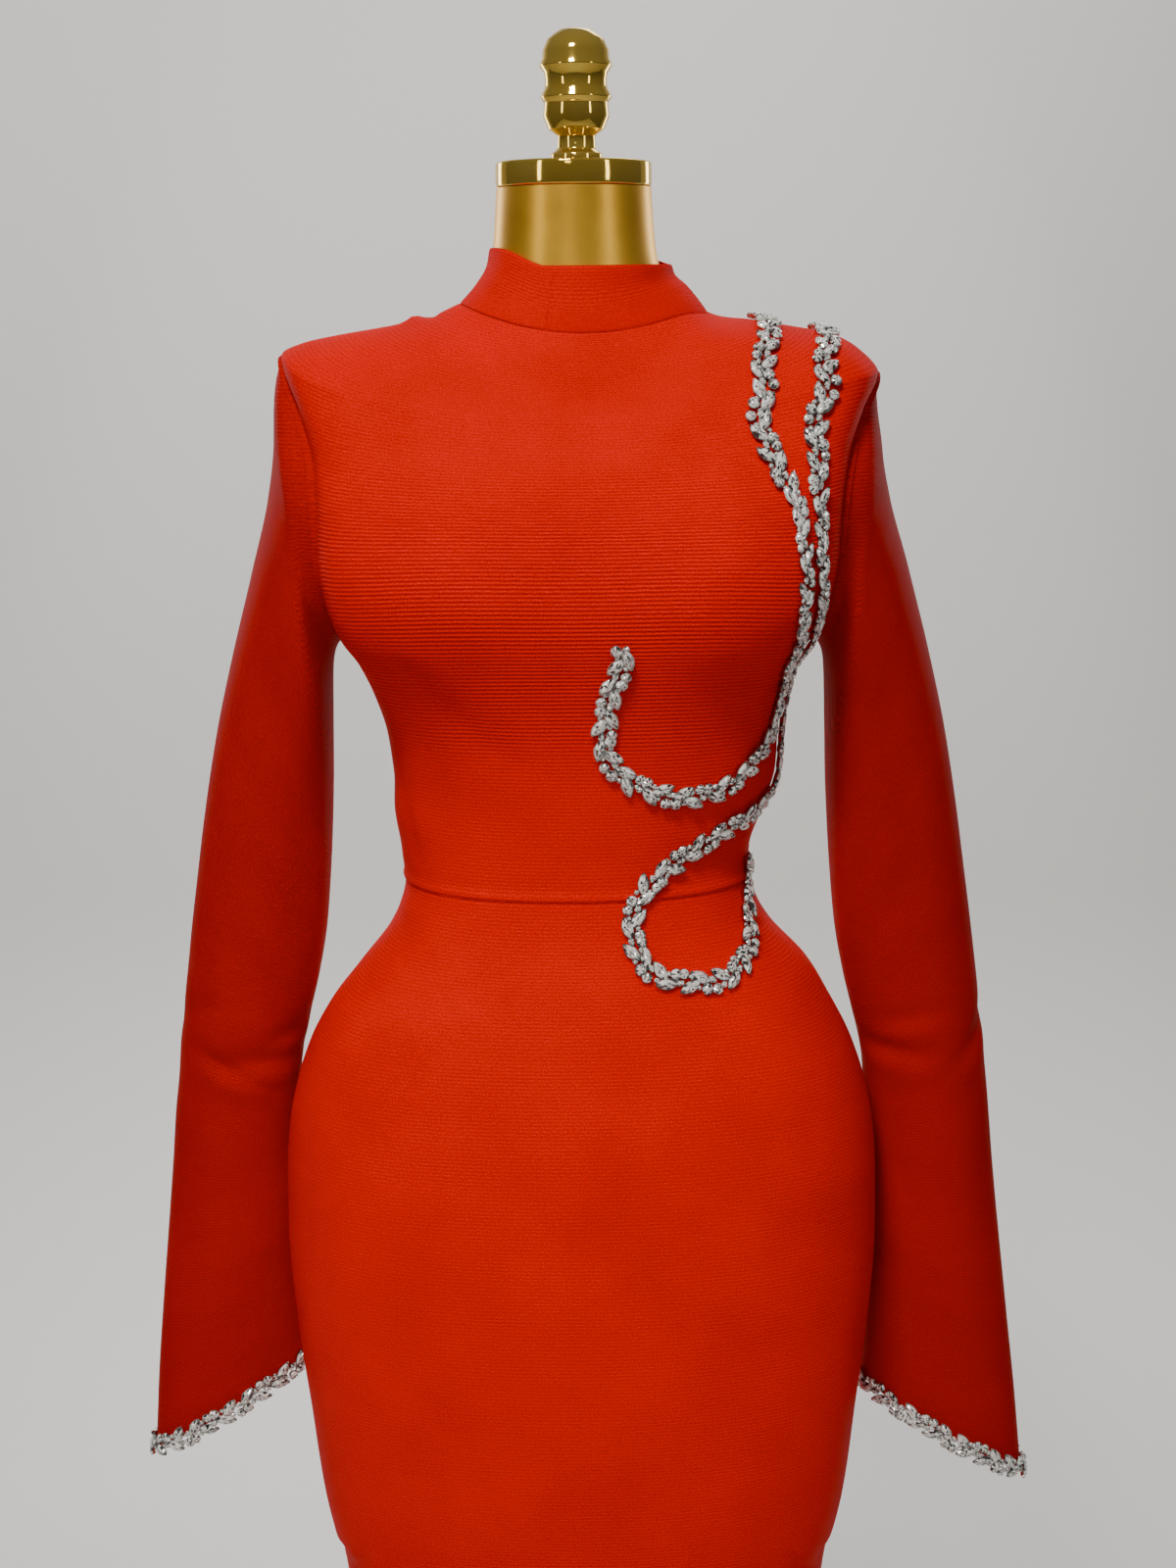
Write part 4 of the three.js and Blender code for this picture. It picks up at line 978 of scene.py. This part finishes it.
def crystal_material():
    crystal, tree, shader = new_material(
        "clear_crystal", {"Metallic": 0.14, "Roughness": 0.05, "Specular IOR Level": 0.9, "Coat Weight": 0.8}
    )

    def vector(operation, *terms):
        return calculate(tree, "VectorMath", operation, *terms)

    shifted = vector("ADD", add_node(tree, "UVMap", uv_map="cut").outputs["UV"], (1, 1, 0))
    stone = vector("SNAP", shifted, (STONE_STEP, STONE_STEP, 1))
    within = vector("SUBTRACT", vector("SUBTRACT", shifted, stone), (1, 1, 0))
    split = add_node(tree, "SeparateXYZ", feeds={0: within})
    turn = calculate(tree, "Math", "ARCTAN2", split.outputs["Y"], split.outputs["X"])
    reach = vector("LENGTH", within)
    polar = add_node(tree, "CombineXYZ", feeds={"X": turn, "Y": reach}).outputs["Vector"]
    polar = vector("ADD", polar, (4, CUT["ring_from"], 0))
    sector = vector("SNAP", polar, (2 * math.pi / CUT["sectors"], CUT["ring"], 1))
    seed = vector("ADD", sector, vector("MULTIPLY", stone, (7, 11, 1)))
    facet = add_node(tree, "TexWhiteNoise", feeds={"Vector": seed})
    lean = vector("SUBTRACT", facet.outputs["Color"], (0.5, 0.5, 0.5))
    lean = vector("MULTIPLY", lean, (CUT["lean"],) * 3)
    surface = add_node(tree, "NewGeometry").outputs["Normal"]
    tree.links.new(vector("NORMALIZE", vector("ADD", surface, lean)), shader.inputs["Normal"])
    # Each facet is painted a tone from black to white: painted reflections of a bright and dark room.
    tint = tone_ramp(tree, facet.outputs["Value"], CRYSTAL_PAINTED_REFLECTIONS, "CONSTANT")
    # The edge of each stone is painted darker: painted shade between the stones.
    rim = add_node(tree, "MapRange", CRYSTAL_PAINTED_RIM_SHADE, {"Value": reach}).outputs["Result"]
    painted_facets = add_node(tree, "VectorMath", feeds={"Vector": tint, "Scale": rim}, operation="SCALE")
    tree.links.new(painted_facets.outputs["Vector"], shader.inputs["Base Color"])
    return crystal


def setting_material():
    silver, tree, shader = new_material("silver_setting", {"Metallic": 1.0, "Roughness": 0.22})
    place = add_node(tree, "TexCoord").outputs["Object"]
    wear = add_node(tree, "TexNoise", {"Scale": 240}, {"Vector": place}).outputs["Fac"]
    tint = tone_ramp(tree, wear, [(0, (0.16, 0.15, 0.14)), (1, (0.90, 0.89, 0.86))])
    tree.links.new(tint, shader.inputs["Base Color"])
    return silver


CRYSTAL = crystal_material()
SILVER = setting_material()


# A stone of unit size: a crown of two rows of facets below a flat table, held in a cup by four
# claws. A marquise is pinched to a point at both ends.
def unit_stone(kind):
    def cone(sides, low, high, tall, place):
        bpy.ops.object.select_all(action="DESELECT")
        bpy.ops.mesh.primitive_cone_add(vertices=sides, radius1=low, radius2=high, depth=tall, location=place)
        bpy.ops.object.transform_apply(location=True, rotation=True, scale=True)
        return bpy.context.object

    sides = 8 if kind == "round" else 12
    crown = cone(sides, 0.50, 0.41, 0.22, (0, 0, 0.63))
    bpy.ops.object.mode_set(mode="EDIT")
    bpy.ops.mesh.select_all(action="DESELECT")
    bpy.ops.object.mode_set(mode="OBJECT")
    for face in crown.data.polygons:
        face.select = face.normal.z > 0.9
    bpy.ops.object.mode_set(mode="EDIT")
    bpy.ops.mesh.extrude_region_move(TRANSFORM_OT_translate={"value": (0, 0, 0.22)})
    bpy.ops.transform.resize(value=(0.58, 0.58, 1))
    bpy.ops.transform.rotate(value=math.radians(180 / sides), orient_axis="Z", center_override=(0, 0, 0))
    bpy.ops.object.mode_set(mode="OBJECT")
    crown.data.materials.append(CRYSTAL)
    cup = cone(sides, 0.40, 0.54, 0.52, (0, 0, 0.26))
    cup.data.materials.append(SILVER)
    claws = []
    for degrees in (45, 135, 225, 315) if kind == "round" else (16, 164, 196, 344):
        angle = math.radians(degrees)
        claw = cone(4, 0.085, 0.045, 0.42, (0.475 * math.cos(angle), 0.475 * math.sin(angle), 0.58))
        claw.data.materials.append(SILVER)
        claws.append(claw)
    choose(crown, cup, *claws)
    bpy.ops.object.join()
    cut = crown.data.uv_layers.new(name="cut")
    for loop, corner in zip(crown.data.loops, cut.data):
        corner.uv = crown.data.vertices[loop.vertex_index].co.xy
    if kind == "marquise":
        for vert in crown.data.vertices:
            vert.co.y *= 1 - 1.9 * vert.co.x ** 2
    return crown


UNIT_STONES = {kind: unit_stone(kind) for kind in ("round", "marquise")}


STONE_SEEDS = 40
# Both strands are slimmer where they run side by side under the arm.
SLIM = {"from": (1150, 1195), "to": (1285, 1335), "by": 0.38, "turn": math.pi / 3}


def set_stones(name, node, place_at, length, narrow, end_gap=0.0):
    chance = random.Random(name)
    copies = []
    repeats = round(length / CLUSTER_PITCH)
    pitch = length / repeats
    for repeat in range(repeats):
        mirror = 1 if repeat % 2 else -1
        for kind, along, aside, turn, long, wide, high in CLUSTER:
            way = repeat * pitch + along * pitch / CLUSTER_PITCH + chance.uniform(-0.4, 0.4)
            if end_gap:
                way = min(max(way, end_gap), length - end_gap)
            slim = narrow(way)
            point, ahead, side, out = place_at(way, aside * mirror * slim)
            spin = Matrix.Rotation(math.radians(turn * mirror * slim + chance.uniform(-9, 9)), 4, "Z")
            lean = Matrix.Rotation(math.radians(chance.uniform(-7, 7)), 4, "X")
            basis = Matrix((ahead, side, out)).transposed().to_4x4()
            size = Matrix.Diagonal((long * MM, wide * slim ** 0.6 * MM, high * MM, 1))
            copy = UNIT_STONES[kind].copy()
            copy.data = UNIT_STONES[kind].data.copy()
            copy.data.transform(Matrix.Translation(point * MM) @ basis @ spin @ lean @ size)
            cut = copy.data.uv_layers["cut"].data
            corners = np.empty(2 * len(cut), np.float32)
            cut.foreach_get("uv", corners)
            seed = [STONE_STEP * chance.randrange(STONE_SEEDS), STONE_STEP * chance.randrange(STONE_SEEDS)]
            cut.foreach_set("uv", corners + np.tile(seed, len(cut)))
            bpy.context.scene.collection.objects.link(copy)
            copies.append(copy)
    choose(*copies)
    bpy.ops.object.join()
    band = bpy.context.object
    band.name = name
    stand_for(band, node)


def catmull(points, per_stretch):
    points = np.array(points, float)
    points = np.concatenate([2 * points[:1] - points[1:2], points, 2 * points[-1:] - points[-2:-1]])
    out = []
    for i in range(1, len(points) - 2):
        p0, p1, p2, p3 = points[i - 1:i + 3]
        for t in np.arange(per_stretch) / per_stretch:
            out.append(0.5 * (2 * p1 + (p2 - p0) * t + (2 * p0 - 5 * p1 + 4 * p2 - p3) * t ** 2
                              + (3 * p1 - p0 - 3 * p2 + p3) * t ** 3))
    out.append(points[-2])
    return np.array(out)


def point_along(points, lengths, way):
    return np.array([np.interp(way, lengths, points[:, k]) for k in range(3)])


def nearest_on_body(target, turn, up):
    for step in range(5):
        around, rise, out = surface_frame(body_point, np.array(turn), np.array(up), HEM, NECK)
        miss = target - body_point(np.array(turn), np.array(up))
        a, b, c = around @ around, around @ rise, rise @ rise
        first, second = miss @ around, miss @ rise
        area = a * c - b * b
        turn = turn + 0.8 * (first * c - second * b) / area
        up = up + 0.8 * (second * a - first * b) / area
    return turn, up


def body_strand(name, node, route):
    track = catmull([(math.radians(turn), up) for turn, up in route], 24)
    points = body_point(track[:, 0], track[:, 1])
    lengths = np.concatenate([[0], np.cumsum(np.linalg.norm(np.diff(points, axis=0), axis=1))])

    def place_at(way, aside):
        turn = float(np.interp(way, lengths, track[:, 0]))
        up = float(np.interp(way, lengths, track[:, 1]))
        before, middle, after = (point_along(points, lengths, way + step) for step in (-1.5, 0, 1.5))
        ahead = (after - before) / np.linalg.norm(after - before)
        out = surface_frame(body_point, np.array(turn), np.array(up), HEM, NECK)[2]
        sideways = np.cross(out, ahead)
        turn, up = nearest_on_body(middle + sideways * aside, turn, up)
        out = surface_frame(body_point, np.array(turn), np.array(up), HEM, NECK)[2]
        point = body_point(np.array(turn), np.array(up)) + out * TRIM_SEAT
        ahead = ahead - out * (ahead @ out)
        ahead = ahead / np.linalg.norm(ahead)
        sideways = np.cross(out, ahead)
        return Vector(point), Vector(ahead), Vector(sideways), Vector(out)

    def narrow(way):
        turn, up = np.interp(way, lengths, track[:, 0]), np.interp(way, lengths, track[:, 1])
        beside = ease(up, *SLIM["from"]) * (1 - ease(up, *SLIM["to"]))
        return float(1 - SLIM["by"] * beside) if turn < SLIM["turn"] else 1.0

    set_stones(name, node, place_at, float(lengths[-1]), narrow, STRAND_END_GAP)


def cuff_band(name, node, side):
    angles = np.linspace(-math.pi / 2, 1.5 * math.pi, 241)[:-1]
    hem = sleeve_point(side, np.full_like(angles, 16.0), angles)
    above = sleeve_point(side, np.full_like(angles, 15.1), angles)
    centre = hem.mean(axis=0)
    loop = np.concatenate([hem, hem[:1]])
    lengths = np.concatenate([[0], np.cumsum(np.linalg.norm(np.diff(loop, axis=0), axis=1))])
    upward = np.concatenate([above - hem, above[:1] - hem[:1]])
    total = float(lengths[-1])

    def place_at(way, aside):
        way = way % total
        before, edge, after = (point_along(loop, lengths, (way + step) % total) for step in (-2, 0, 2))
        rise = point_along(upward, lengths, way)
        rise = rise / np.linalg.norm(rise)
        ahead = (after - before) / np.linalg.norm(after - before)
        out = np.cross(ahead, rise)
        out = out / np.linalg.norm(out)
        if out @ (edge - centre) < 0:
            out = -out
        sideways = np.cross(out, ahead)
        point = edge + sideways * aside + out * TRIM_SEAT
        return Vector(point), Vector(ahead), Vector(sideways), Vector(out)

    set_stones(name, node, place_at, total, lambda way: 1.0)


body_strand("trim_inner_stones", "trim_inner", INNER_STRAND)
body_strand("trim_outer_stones", "trim_outer", OUTER_STRAND)
cuff_band("trim_cuff_left_stones", "trim_cuff_left", 1)
cuff_band("trim_cuff_right_stones", "trim_cuff_right", -1)
for stone in UNIT_STONES.values():
    bpy.data.objects.remove(stone)


# Zip: only the slider and its pull tab show, red-enamelled metal at the top of the centre back.
def enamel_material():
    enamel, tree, shader = new_material("red_enamel", {"Metallic": 0.3, "Coat Weight": 0.4})
    place = add_node(tree, "TexCoord").outputs["Object"]
    scuffs = add_node(tree, "TexNoise", {"Scale": 700}, {"Vector": place}).outputs["Fac"]
    tint = tone_ramp(tree, scuffs, [(0, (0.30, 0.006, 0.004)), (1, (0.46, 0.012, 0.006))])
    tree.links.new(tint, shader.inputs["Base Color"])
    dull = add_node(tree, "MapRange", {"To Min": 0.25, "To Max": 0.45}, {"Value": scuffs})
    tree.links.new(dull.outputs["Result"], shader.inputs["Roughness"])
    return enamel


ENAMEL = enamel_material()
for node in ("zip_slider", "zip_pull"):
    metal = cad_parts[node]
    for place in metal.material_slots:
        place.material = ENAMEL
